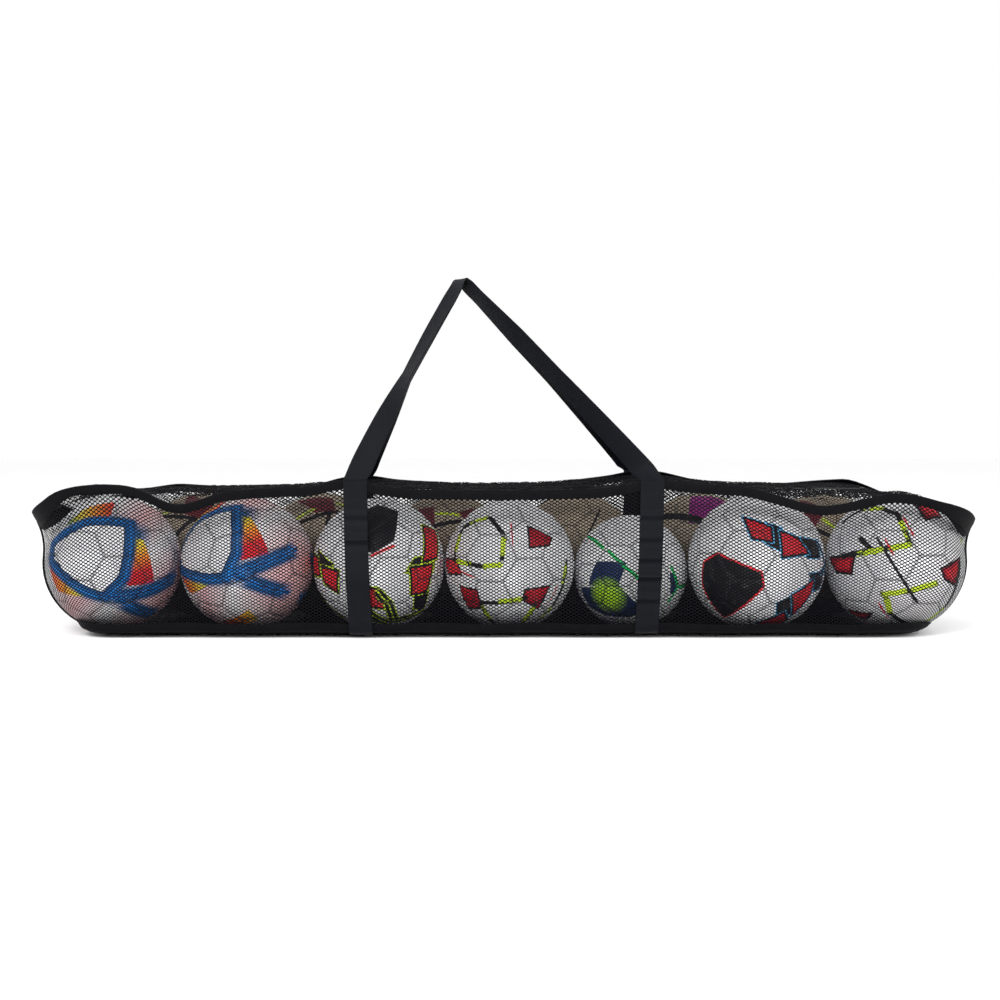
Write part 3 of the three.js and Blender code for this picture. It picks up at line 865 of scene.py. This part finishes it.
net_finish, tree, shader, place, yarn = two_toned(
    "black knotless net", 700, (0.0008, 0.0008, 0.0012, 1), (0.004, 0.004, 0.006, 1), 3
)
feed(tree, shader.inputs["Roughness"], calc(tree, "MULTIPLY_ADD", yarn, 0.3, 0.5))
shader.inputs["Specular IOR Level"].default_value = 0.06
emboss(tree, shader, noise(tree, place, 1800, 1), 0.5, 0.0003)

loop_wall = np.concatenate((wall, wall[:1]))
panels = {}
first = 0
on_row, on_ends = ["ball_front_2", "ball_front_4"], ["ball_front_1", "ball_front_7"]
for panel_name, cells, length, node, balls_under in (
    ("front", long_cells, 2 * WALL_HALF, "front_panel", on_row),
    ("right", end_cells, END_LENGTH, "end_panel_right", on_ends),
    ("back", long_cells, 2 * WALL_HALF, "back_panel", on_row),
    ("left", end_cells, END_LENGTH, "end_panel_left", on_ends),
):
    panels[panel_name] = loop_wall[first : first + cells + 1]
    first += cells
    net = knit(panels[panel_name], length, WALL_TALL)
    net = net_piece("net_" + panel_name, net, net_finish)
    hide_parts(node)
    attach(net, "bag")

# ---- Top net ------------------------------------------------------------------------------
# The same net, slack enough to lie in small folds, in two halves either side of the zip. It is
# sewn down past the ends of the opening; between them each half is a flap, which on the bag
# folds back on its long edge and, near its ends, on a slant from the end of the opening to that
# edge. Here each flap lies unfolded, cut across into a middle piece and two end pieces.
SEWN_END = {-1: 0.672, 1: 0.572}
FOLD_END = {-1: 0.520, 1: 0.420}
ZIP_PAST = 0.045  # the zip runs on, sewn down, past each end of the opening
TAPE_OUT = 0.0165  # outer edge of the zip's tape
TOP_HALF, TOP_WHOLE = 0.205, 0.41  # width of each half and of the sewn-down ends
TOP_COVER, TOP_YARN = 0.58, 1.34  # the slack net looks closer, its yarn wider


def fold_with_flap(piece):
    """Bakes the piece's placement into its points."""
    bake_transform(piece)


def flipped(net):
    points, groups = net
    return points, [(faces[:, ::-1], u) for faces, u in groups]


halves = {}
for side in (-1, 1):
    edge_v, zip_v = 0.008, 0.5 - 0.5 * TAPE_OUT * 0.8 / TOP_DEPTH
    u, v = np.meshgrid(
        np.linspace(0, 1, top_cells + 1), np.linspace(edge_v, zip_v, 19), indexing="ij"
    )
    cloth = sampled(top, u, v if side < 0 else 1 - v)
    points, groups = knit(cloth, 2 * ARC_END, TOP_HALF, TOP_YARN)
    x, y = points[:, 0], abs(points[:, 1])
    loose = np.interp(y, (0.02, 0.05, 0.17, 0.2), (0, 1, 1, 0))
    loose *= np.interp(abs(x), (0.68, 0.75), (1, 0))
    waves = np.sin(y * 290 + 2.2 * np.sin(x * 37))
    waves += np.sin(y * 170 - x * 70 + 1.5 * np.sin(x * 53 + y * 40))
    points[:, 2] += loose * 0.0016 * (2 + waves)
    net = points, groups
    halves[side] = net if side < 0 else flipped(net)


def as_share(x):
    return (x + ARC_END) / (2 * ARC_END)


for side, name in ((-1, "front"), (1, "back")):
    for part, hand, start, end in (
        ("left", -1, -SEWN_END[-1], -FOLD_END[-1]),
        ("middle", 0, -FOLD_END[-1], FOLD_END[1]),
        ("right", 1, FOLD_END[1], SEWN_END[1]),
    ):
        shares = as_share(start), as_share(end)
        piece = net_piece(f"flap_{name}_{part}", halves[side], net_finish, *shares)
        fold_with_flap(piece)
        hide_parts("top_flap_" + name)


def past_the_zip(hand):
    """The strip of net that joins the two halves between the zip's end and the edge."""
    first = as_share(hand * (SEWN_END[hand] + ZIP_PAST + 0.006))
    along = np.linspace(first, 1, 25) if hand > 0 else np.linspace(0, first, 25)
    half = 0.5 - zip_v + 0.004
    u, v = np.meshgrid(along, np.linspace(0.5 - half, 0.5 + half, 9), indexing="ij")
    length = (along[-1] - along[0]) * 2 * ARC_END
    return knit(sampled(top, u, v), length, half * 4 * TOP_DEPTH, TOP_YARN)


for hand, name in ((-1, "left"), (1, "right")):
    end_of_flap = as_share(hand * SEWN_END[hand])
    start, end = (-1, end_of_flap) if hand < 0 else (end_of_flap, 2)
    points, faces = np.zeros((0, 3)), []
    for net, low, high in (
        (halves[-1], start, end),
        (halves[1], start, end),
        (past_the_zip(hand), -1, 2),
    ):
        faces += [f[(u >= low) & (u < high)] + len(points) for f, u in net[1]]
        points = np.concatenate((points, net[0]))
    piece = mesh_piece("net_top_" + name, points, faces, net_finish)
    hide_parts("top_end_" + name)
    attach(piece, "bag")

# ---- Base ---------------------------------------------------------------------------------
# Closely woven black polyester, flat on the ground under the balls and turned up a little to
# the seams along its edges.
BASE_ARC = BASE_LENGTH - BASE_CORNER + BASE_CORNER * math.pi / 2
TURN_UP = 0.045  # width of the part that is turned up
base_cells, base_rows = 120, 41
base = np.zeros((base_cells + 1, base_rows, 3))
for column, s in enumerate(stations(base_cells, -BASE_ARC, BASE_ARC)):
    hand, s = (1 if s >= 0 else -1), abs(s)
    front, back = bottom_edge(-1, hand, s), bottom_edge(1, hand, s)
    for row in range(base_rows):
        t = row / (base_rows - 1)
        spot = front * (1 - t) + back * t
        inward = min(t, 1 - t) * 2 * abs(front[1])
        inward = min(inward, max(0.0, BASE_LENGTH - abs(spot[0])))
        rise = max(0.0, 1 - inward / TURN_UP)
        flat = 0.0026 + 0.0004 * math.sin(spot[0] * 57) * math.sin(spot[1] * 41)
        spot[2] = flat + (spot[2] - flat) * rise * rise
        base[column, row] = spot
grid = np.arange((base_cells + 1) * base_rows).reshape(base_cells + 1, base_rows)
quads = np.stack((grid[:-1, :-1], grid[1:, :-1], grid[1:, 1:], grid[:-1, 1:]), -1)
woven, tree, shader, place, _ = two_toned(
    "black woven base cloth", 40, (0.002, 0.002, 0.003, 1), (0.006, 0.006, 0.008, 1)
)
weave = add_node(tree, "ShaderNodeTexChecker")
feed(tree, weave.inputs["Vector"], place)
weave.inputs["Scale"].default_value = 900
shader.inputs["Roughness"].default_value = 0.75
shader.inputs["Specular IOR Level"].default_value = 0.1
emboss(tree, shader, weave.outputs["Fac"], 0.4, 0.0003)
base_cloth = mesh_piece("base_cloth", base.reshape(-1, 3), [quads.reshape(-1, 4)], woven)
wall_of_cloth = base_cloth.modifiers.new("cloth", "SOLIDIFY")
wall_of_cloth.thickness = 0.0006
wall_of_cloth.offset = -1
bpy.context.view_layer.objects.active = base_cloth
bpy.ops.object.modifier_apply(modifier="cloth")
bpy.ops.object.select_all(action="DESELECT")
base_cloth.select_set(True)
bpy.ops.object.shade_smooth()
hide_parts("base_panel")
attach(base_cloth, "bag")

# ---- Edge bindings ------------------------------------------------------------------------
# Ribbed black binding tape, folded over the sewn edges: one round the top, front, back and
# ends, and one round the bottom. Narrow tapes close the four upright seams.


def tape(name, rings, finish):
    """A closed tape from rings of points, with its length and its width as its UV map."""
    count, across = rings.shape[:2]
    step = np.linalg.norm(np.diff(rings.mean(1), axis=0), axis=1)
    along = np.concatenate(((0,), np.cumsum(step)))
    hop = np.linalg.norm(np.diff(rings, axis=1, append=rings[:, :1]), axis=2).mean(0)
    round_it = np.concatenate(((0,), np.cumsum(hop)))
    faces, spots = [], []
    for i in range(count - 1):
        for j in range(across):
            k = (j + 1) % across
            here, there = i * across, (i + 1) * across
            faces.append((here + j, there + j, there + k, here + k))
            for a, b in ((i, j), (i + 1, j), (i + 1, j + 1), (i, j + 1)):
                spots.append((along[a], round_it[b]))
    for i in (0, count - 1):
        faces.append([i * across + j for j in range(across)])
        spots += [(along[i], round_it[j]) for j in range(across)]
    mesh = bpy.data.meshes.new(name)
    mesh.from_pydata(rings.reshape(-1, 3).tolist(), [], faces)
    mesh.uv_layers.new(name="cloth").data.foreach_set("uv", np.array(spots).reshape(-1))
    mesh.materials.append(finish)
    piece = bpy.data.objects.new(name, mesh)
    bpy.context.collection.objects.link(piece)
    bpy.ops.object.select_all(action="DESELECT")
    bpy.context.view_layer.objects.active = piece
    piece.select_set(True)
    bpy.ops.object.mode_set(mode="EDIT")
    bpy.ops.mesh.select_all(action="SELECT")
    bpy.ops.mesh.normals_make_consistent(inside=False)
    bpy.ops.object.mode_set(mode="OBJECT")
    bpy.ops.object.shade_smooth_by_angle(angle=math.radians(50))
    return piece


def unit(v):
    return v / np.linalg.norm(v, axis=-1, keepdims=True)


def ribbed(name, dark, light, rib, roughness, gloss=0.05):
    """Woven tape: ribs across it at that spacing, and closer threads along it."""
    material, tree, shader = new_material(name)
    chart = add_node(tree, "ShaderNodeUVMap", uv_map="cloth").outputs["UV"]
    parts = add_node(tree, "ShaderNodeSeparateXYZ")
    tree.links.new(chart, parts.inputs[0])
    across = calc(tree, "SINE", calc(tree, "MULTIPLY", parts.outputs["X"], 2 * math.pi / rib))
    along = calc(tree, "MULTIPLY", parts.outputs["Y"], 2 * math.pi / (rib * 0.8))
    along = calc(tree, "SINE", along)
    height = calc(tree, "MULTIPLY_ADD", along, 0.4, across)
    wear = noise(tree, chart, 60, 4)
    tone = calc(tree, "MULTIPLY_ADD", height, 0.16, wear, clamp=True)
    feed(tree, shader.inputs["Base Color"], mix(tree, tone, dark, light))
    feed(tree, shader.inputs["Roughness"], calc(tree, "MULTIPLY_ADD", wear, 0.25, roughness))
    shader.inputs["Specular IOR Level"].default_value = gloss
    emboss(tree, shader, height, 0.45, 0.0003)
    return material


binding_finish = ribbed(
    "black grosgrain binding",
    (0.0008, 0.0008, 0.001, 1),
    (0.004, 0.004, 0.0055, 1),
    0.0014,
    0.5,
)
UP = np.array((0, 0, 1.0))
twice = np.concatenate((wall, wall))


def binding(name, node, first, last, row, beyond, section, ears):
    """Tape folded over an edge of the wall, that many times wider at the ears of the bag."""
    line = twice[first - 1 : last + 2, row]
    edge = line[1:-1]
    into = unit(np.cross(UP, unit(line[2:] - line[:-2])))
    down = unit(twice[first : last + 1, beyond] - edge)
    wider = np.interp(np.abs(edge[:, :1]), (0.69, 0.75), (1, ears))
    rings = [edge + (down * d * wider + into * i) / 1000 for d, i in section]
    piece = tape(name, np.stack(rings, axis=1), binding_finish)
    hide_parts(node)
    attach(piece, "bag")


# Distances in millimetres from the edge along the wall, and in from the wall's outside: down
# the outside of the fold, round the edge, down its inside, and back along the inner faces.
TOP_SECTION = (
    (12, -1.2), (11.4, -2.2), (6, -2.7), (1, -3), (-2.2, -2), (-3.2, 0), (-3, 5), (-2.4, 11.4),
    (-1.4, 12), (-1, 6), (-0.8, 0), (0, -0.9), (6, -1.2),
)
LOW_SECTION = (
    (11, -1.2), (10.4, -2.2), (5, -2.6), (0, -2.6), (-2.4, -1.6), (-3, 1), (-2.6, 9),
    (-1.4, 9.6), (-1, 4), (-0.8, 0), (0, -0.8), (5, -1.2),
)
# Round a flat seam tape and the fold of cloth under it: across the seam, and outward.
SEAM_SECTION = ((-5, 1), (-4.6, 2), (-1, 2.4), (0, 4.2), (1, 2.4), (4.6, 2), (5, 1), (0, 0.8))
# Each length of tape ends at a column of the wall, counted from the front's left end.
for row, beyond, level, node, section, ears, lengths in (
    (-1, -3, "top", "top_binding_", TOP_SECTION, 2.1, (9, 129, 169, 289, 329)),
    (0, 2, "low", "bottom_binding_", LOW_SECTION, 1, (13, 125, 173, 285, 333)),
):
    for end_name, first, last in zip(("front", "right", "back", "left"), lengths, lengths[1:]):
        name = f"edge_{level}_{end_name}"
        binding(name, node + end_name, first, last, row, beyond, section, ears)
for end_name, column in (
    ("front_right", 138),
    ("back_right", 160),
    ("back_left", 298),
    ("front_left", 320),
):
    line = twice[column, 1:-1]
    run = unit(twice[column + 1, 1:-1] - twice[column - 1, 1:-1])
    climb = unit(twice[column, 2:] - twice[column, :-2])
    out = unit(np.cross(run, climb))
    rings = [line + (run * a + out * b) / 1000 for a, b in SEAM_SECTION]
    piece = tape("seam_" + end_name, np.stack(rings, axis=1), binding_finish)
    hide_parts("corner_seam_" + end_name)
    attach(piece, "bag")

# ---- Zip ----------------------------------------------------------------------------------
# A black nylon coil zip on woven tape along the middle of the top, each half sewn to its flap
# and both sewn down past the ends of the opening. Metal slider, pull and end stops.
zip_tape_finish = ribbed(
    "black zip tape", (0.001, 0.001, 0.0015, 1), (0.008, 0.008, 0.01, 1), 0.0011, 0.55
)
nylon, tree, shader, _, worn = two_toned(
    "black nylon teeth", 260, (0.002, 0.002, 0.003, 1), (0.012, 0.012, 0.013, 1), 3
)
feed(tree, shader.inputs["Roughness"], calc(tree, "MULTIPLY_ADD", worn, 0.2, 0.25))
emboss(tree, shader, worn, 0.3, 0.0002)
metal, tree, shader, place, worn = two_toned(
    "dark zip metal", 180, (0.02, 0.02, 0.021, 1), (0.07, 0.068, 0.066, 1), 5
)
feed(tree, shader.inputs["Roughness"], calc(tree, "MULTIPLY_ADD", worn, 0.35, 0.22))
shader.inputs["Metallic"].default_value = 0.9
emboss(tree, shader, noise(tree, place, 900), 0.2, 0.0002)
for node in ("zip_slider", "zip_pull", "zip_stop_left", "zip_stop_right"):
    piece = frame["nodes"][node]
    piece.data.materials.clear()
    piece.data.materials.append(metal)
TOOTH_STEP = 0.002
TAPE_PAST = 0.011  # the tape runs on past the teeth
# Half of the tape's section, in millimetres out from the middle of the zip and up.
TAPE_SECTION = (
    (4.0, 0.5), (4.6, 0.75), (6.2, 0.45), (16, 0.4), (16.6, 0),
    (16, -0.4), (6.2, -0.45), (4.6, -0.6), (4.0, -0.5),
)


def teeth(name, start, end, side):
    """One row of coil: a rounded loop of nylon, copied along the tape."""
    bpy.ops.object.select_all(action="DESELECT")
    middle = side * 0.0026
    bpy.ops.mesh.primitive_cylinder_add(
        vertices=6, radius=0.00062, depth=0.0034, rotation=(math.pi / 2, 0, 0)
    )
    row = bpy.context.object
    row.name = row.data.name = name
    bpy.ops.object.mode_set(mode="EDIT")
    bpy.ops.mesh.select_all(action="SELECT")
    bpy.ops.transform.resize(value=(1, 1, 1.75))
    offset = 0.0 if side < 0 else TOOTH_STEP / 2
    bpy.ops.transform.translate(value=(start + TOOTH_STEP / 2 + offset, middle, ZIP_HEIGHT))
    bpy.ops.object.mode_set(mode="OBJECT")
    bpy.ops.object.transform_apply(location=True, rotation=True, scale=True)
    many = row.modifiers.new("coil", "ARRAY")
    many.count = int((end - start) / TOOTH_STEP)
    many.use_relative_offset = False
    many.use_constant_offset = True
    many.constant_offset_displace = (TOOTH_STEP, 0, 0)
    bpy.ops.object.modifier_apply(modifier="coil")
    bpy.ops.object.shade_smooth_by_angle(angle=math.radians(60))
    row.data.materials.clear()
    row.data.materials.append(nylon)
    return row


def zip_tape(name, start, end, side):
    """Woven tape with a thicker edge under the teeth."""
    steps = np.linspace(start, end, max(3, int(abs(end - start) / 0.012)))
    rings = [
        [(x, side * y / 1000, ZIP_HEIGHT + z / 1000) for y, z in TAPE_SECTION] for x in steps
    ]
    return tape(name, np.array(rings), zip_tape_finish)


for side, name in ((-1, "front"), (1, "back")):
    for hand, end_name in ((-1, "left"), (1, "right")):
        start, end = sorted((0.0, hand * (SEWN_END[hand] - 0.0005)))
        cloth = zip_tape(f"zip_tape_{name}_{end_name}", start, end, side)
        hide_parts("zip_tape_" + name)
        fold_with_flap(cloth)
        coil = teeth(f"zip_coil_{name}_{end_name}", start, end, side)
        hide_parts("zip_coil_" + name)
        fold_with_flap(coil)
for hand, end_name in ((-1, "left"), (1, "right")):
    for side, name in ((-1, "front"), (1, "back")):
        sewn = SEWN_END[hand]
        start, end = sorted((hand * sewn, hand * (sewn + ZIP_PAST)))
        outer = sorted((hand * sewn, hand * (sewn + ZIP_PAST + TAPE_PAST)))
        cloth = zip_tape(f"zip_end_tape_{name}_{end_name}", *outer, side)
        coil = teeth(f"zip_end_coil_{name}_{end_name}", start, end, side)
        for piece, slot in ((cloth, "zip_tape"), (coil, "zip_coil")):
            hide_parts("zip_end_" + end_name)
            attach(piece, "bag")

# ---- Straps -------------------------------------------------------------------------------
# Two loops of 38 mm navy-black polyester webbing, sewn on over the bindings: up the front,
# under the base and up the back. Their sewn length is creased where the net is slack.
WEBBING = 0.038
webbing_finish = ribbed(
    "navy black webbing",
    (0.0004, 0.0006, 0.0014, 1),
    (0.0022, 0.0028, 0.006, 1),
    0.0018,
    0.36,
    gloss=0.1,
)


def webbing(name, line, across, thick=0.0014, curl=0.0004):
    """Webbing along a line of points, its width along the across directions."""
    run = unit(np.gradient(line, axis=0))
    wide = unit(across)
    face = unit(np.cross(wide, run))
    section = [(-1, 0)] + [(-0.985 + 1.97 * k / 8, 1) for k in range(9)] + [(1, 0)]
    section += [(0.985 - 1.97 * k / 8, -1) for k in range(9)]
    rings = [
        line + wide * a * WEBBING / 2 + face * (b * thick / 2 + curl * a * a) for a, b in section
    ]
    return tape(name, np.stack(rings, axis=1), webbing_finish)


def on_wall(panel, x, side):
    """Points of a wall above each other at x, clear of the net over the webbing's width."""
    found = []
    order = 1 if panel[-1, 0, 0] > panel[0, 0, 0] else -1
    for row in range(rows):
        xs, ys, zs = (panel[::order, row, k] for k in range(3))
        y = max(side * np.interp(x + k, xs, ys) for k in (-0.019, -0.01, 0, 0.01, 0.019))
        found.append((x, side * (y + 0.0032), np.interp(x, xs, zs)))
    return np.array(found)


def respaced(points, step):
    hop = np.linalg.norm(np.diff(points, axis=0), axis=1)
    along = np.concatenate(((0,), np.cumsum(hop)))
    marks = np.linspace(0, along[-1], int(along[-1] / step) + 1)
    return np.stack([np.interp(marks, along, points[:, k]) for k in range(3)], axis=1)


def smoothed(points, rounds):
    points = points.copy()
    for _ in range(rounds):
        points[1:-1] = points[1:-1] / 2 + (points[:-2] + points[2:]) / 4
    return points


FRONT_X = (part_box("handle_front")[1].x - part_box("handle_front")[0].x - WEBBING) / 2
BACK_X = (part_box("handle_back")[1].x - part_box("handle_back")[0].x - WEBBING) / 2
FRONT_DRIFT = 0.006  # each strap leans in towards the bottom of the front
BACK_SKEW = {-1: -0.018, 1: 0}  # and the left one meets the back further out
UNDER = 0.001  # height of the webbing under the base
# Heights of the creases across the front of each strap, and how far each stands out.
CREASES = {
    -1: ((0.161, 0.005), (0.2, 0.0015)),
    1: ((0.2, 0.003), (0.165, 0.003), (0.132, 0.0045), (0.102, 0.006), (0.066, 0.005)),
}
feet = {}
for hand, name in ((-1, "left"), (1, "right")):
    front = on_wall(panels["front"], hand * FRONT_X, -1)
    back = on_wall(panels["back"], hand * BACK_X + BACK_SKEW[hand], 1)
    front[:, 0] -= hand * FRONT_DRIFT * (1 - np.linspace(0, 1, rows)) ** 2
    top_front = front[-1] + np.array((0, -0.001, 0.003))
    top_back = back[-1] + np.array((0, 0.001, 0.003))
    feet[-1, hand], feet[1, hand] = top_front, top_back
    for wall_side, points in ((-1, front), (1, back)):
        points[:, 1] += wall_side * 0.0018 * np.clip((0.04 - points[:, 2]) / 0.015, 0, 1)
    turns = ((BASE_DEPTH + 0.0035, 0.0055), (BASE_DEPTH - 0.01, 0.0078))
    near, far = front[0], back[0]
    low = [(near[0], -y, near[2] - drop) for y, drop in turns]
    low += [
        (near[0] + (far[0] - near[0]) * t, -0.15 + 0.3 * t, UNDER) for t in np.linspace(0, 1, 11)
    ]
    low += [(far[0], y, far[2] - drop) for y, drop in turns[::-1]]
    path = np.concatenate(([top_front], front[::-1][1:], low, back[1:], [top_back]))
    path = smoothed(respaced(path, step=0.003), rounds=8)
    path[:, 2] = np.maximum(path[:, 2], 0.00085)
    # The webbing stands out at each crease and tucks in below it.
    on_front = path[:, 1] < -0.19
    for tall, high in CREASES[hand]:
        rise = (path[:, 2] - tall) / 0.005
        path[:, 1] -= np.where(on_front, high * np.exp(-(rise**2)), 0)
        path[:, 1] += np.where(on_front, 0.0016 * np.exp(-((rise + 1.5) ** 2)), 0)
    piece = webbing("webbing_" + name, path, np.tile((1.0, 0, 0), (len(path), 1)))
    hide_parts("strap_" + name)
    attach(piece, "bag")

# ---- Handles ------------------------------------------------------------------------------
# The straps' free lengths: two loops of the same webbing, front and back, each held up by its
# middle, where it folds narrow. Each leg turns part of the way edge on as it rises.
CROWN_X = -0.073
CROWN_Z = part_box("handle_front")[1].z
HANDLE_HINGE = 0.2285
MITRE = np.array((0.56, -0.83, 0))  # the way that the folded webbing lies at the crown


def curve_through(points, step):
    """A smooth line through points, with rounded corners."""
    points = np.array(points)
    ends = np.concatenate(([2 * points[0] - points[1]], points, [2 * points[-1] - points[-2]]))
    found = []
    for a, b, c, d in zip(ends, ends[1:], ends[2:], ends[3:]):
        for t in np.linspace(0, 1, 24, endpoint=False):
            bend = (2 * a - 5 * b + 4 * c - d) * t**2 + (3 * b - a - 3 * c + d) * t**3
            found.append(0.5 * (2 * b + (c - a) * t + bend))
    return respaced(np.array(found + [points[-1]]), step)


# How far each leg is turned edge on, in degrees, at shares of its rise.
TURNS = {
    -1: ((0, 0.08, 0.3, 0.5, 0.7, 0.9, 1), (0, 8, 33, 64, 56, 52, 56)),
    1: ((0, 0.06, 0.3, 0.5, 0.7, 0.9, 1), (0, 26, 40, 50, 47, 58, 56)),
}
for side, name, nest in ((-1, "front", -0.0022), (1, "back", 0.0)):
    crown = np.array((CROWN_X, side * 0.004, CROWN_Z + nest - 0.0012))
    line, across = [], []
    for hand in (-1, 1):
        foot = feet[side, hand]
        bow = -0.006 if hand < 0 else 0.004
        shares = (0, 0.04, 0.12, 0.3, 0.5, 0.7, 0.86, 0.95)
        points = [foot + (crown - foot) * t + (bow * math.sin(math.pi * t), 0, 0) for t in shares]
        points[1] = foot + (crown - foot) * 0.035
        points += [crown + (hand * 0.0035, 0, -0.003), crown]
        leg = curve_through(points, step=0.0035)
        run = unit(np.gradient(leg, axis=0))
        run[-6:] = unit(crown - foot)
        climb = np.linspace(0, 1, len(leg))
        turn = np.radians(np.interp(climb, *TURNS[hand]))[:, None]
        level = unit(np.cross((0, 1, 0), run))
        level *= np.sign(level[:, :1])
        wide = level * np.cos(turn) + np.array((0, -1, 0)) * np.sin(turn)
        at_foot = np.exp(-((climb / 0.05) ** 2))[:, None]
        at_crown = np.exp(-(((1 - climb) / 0.03) ** 2))[:, None]
        wide = wide * (1 - at_foot) + np.array((1, 0, 0)) * at_foot
        wide = wide * (1 - at_crown) + MITRE * at_crown
        line.append(leg if hand < 0 else leg[::-1][1:])
        across.append(wide if hand < 0 else wide[::-1][1:])
    piece = webbing("grip_" + name, np.concatenate(line), np.concatenate(across), curl=0.0008)
    hinge, tall = side * HANDLE_HINGE, line[0][0][2]
    start, end = (0, hinge, tall - 0.002), (0, hinge, tall + 0.03)
    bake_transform(piece)
    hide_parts("handle_" + name)
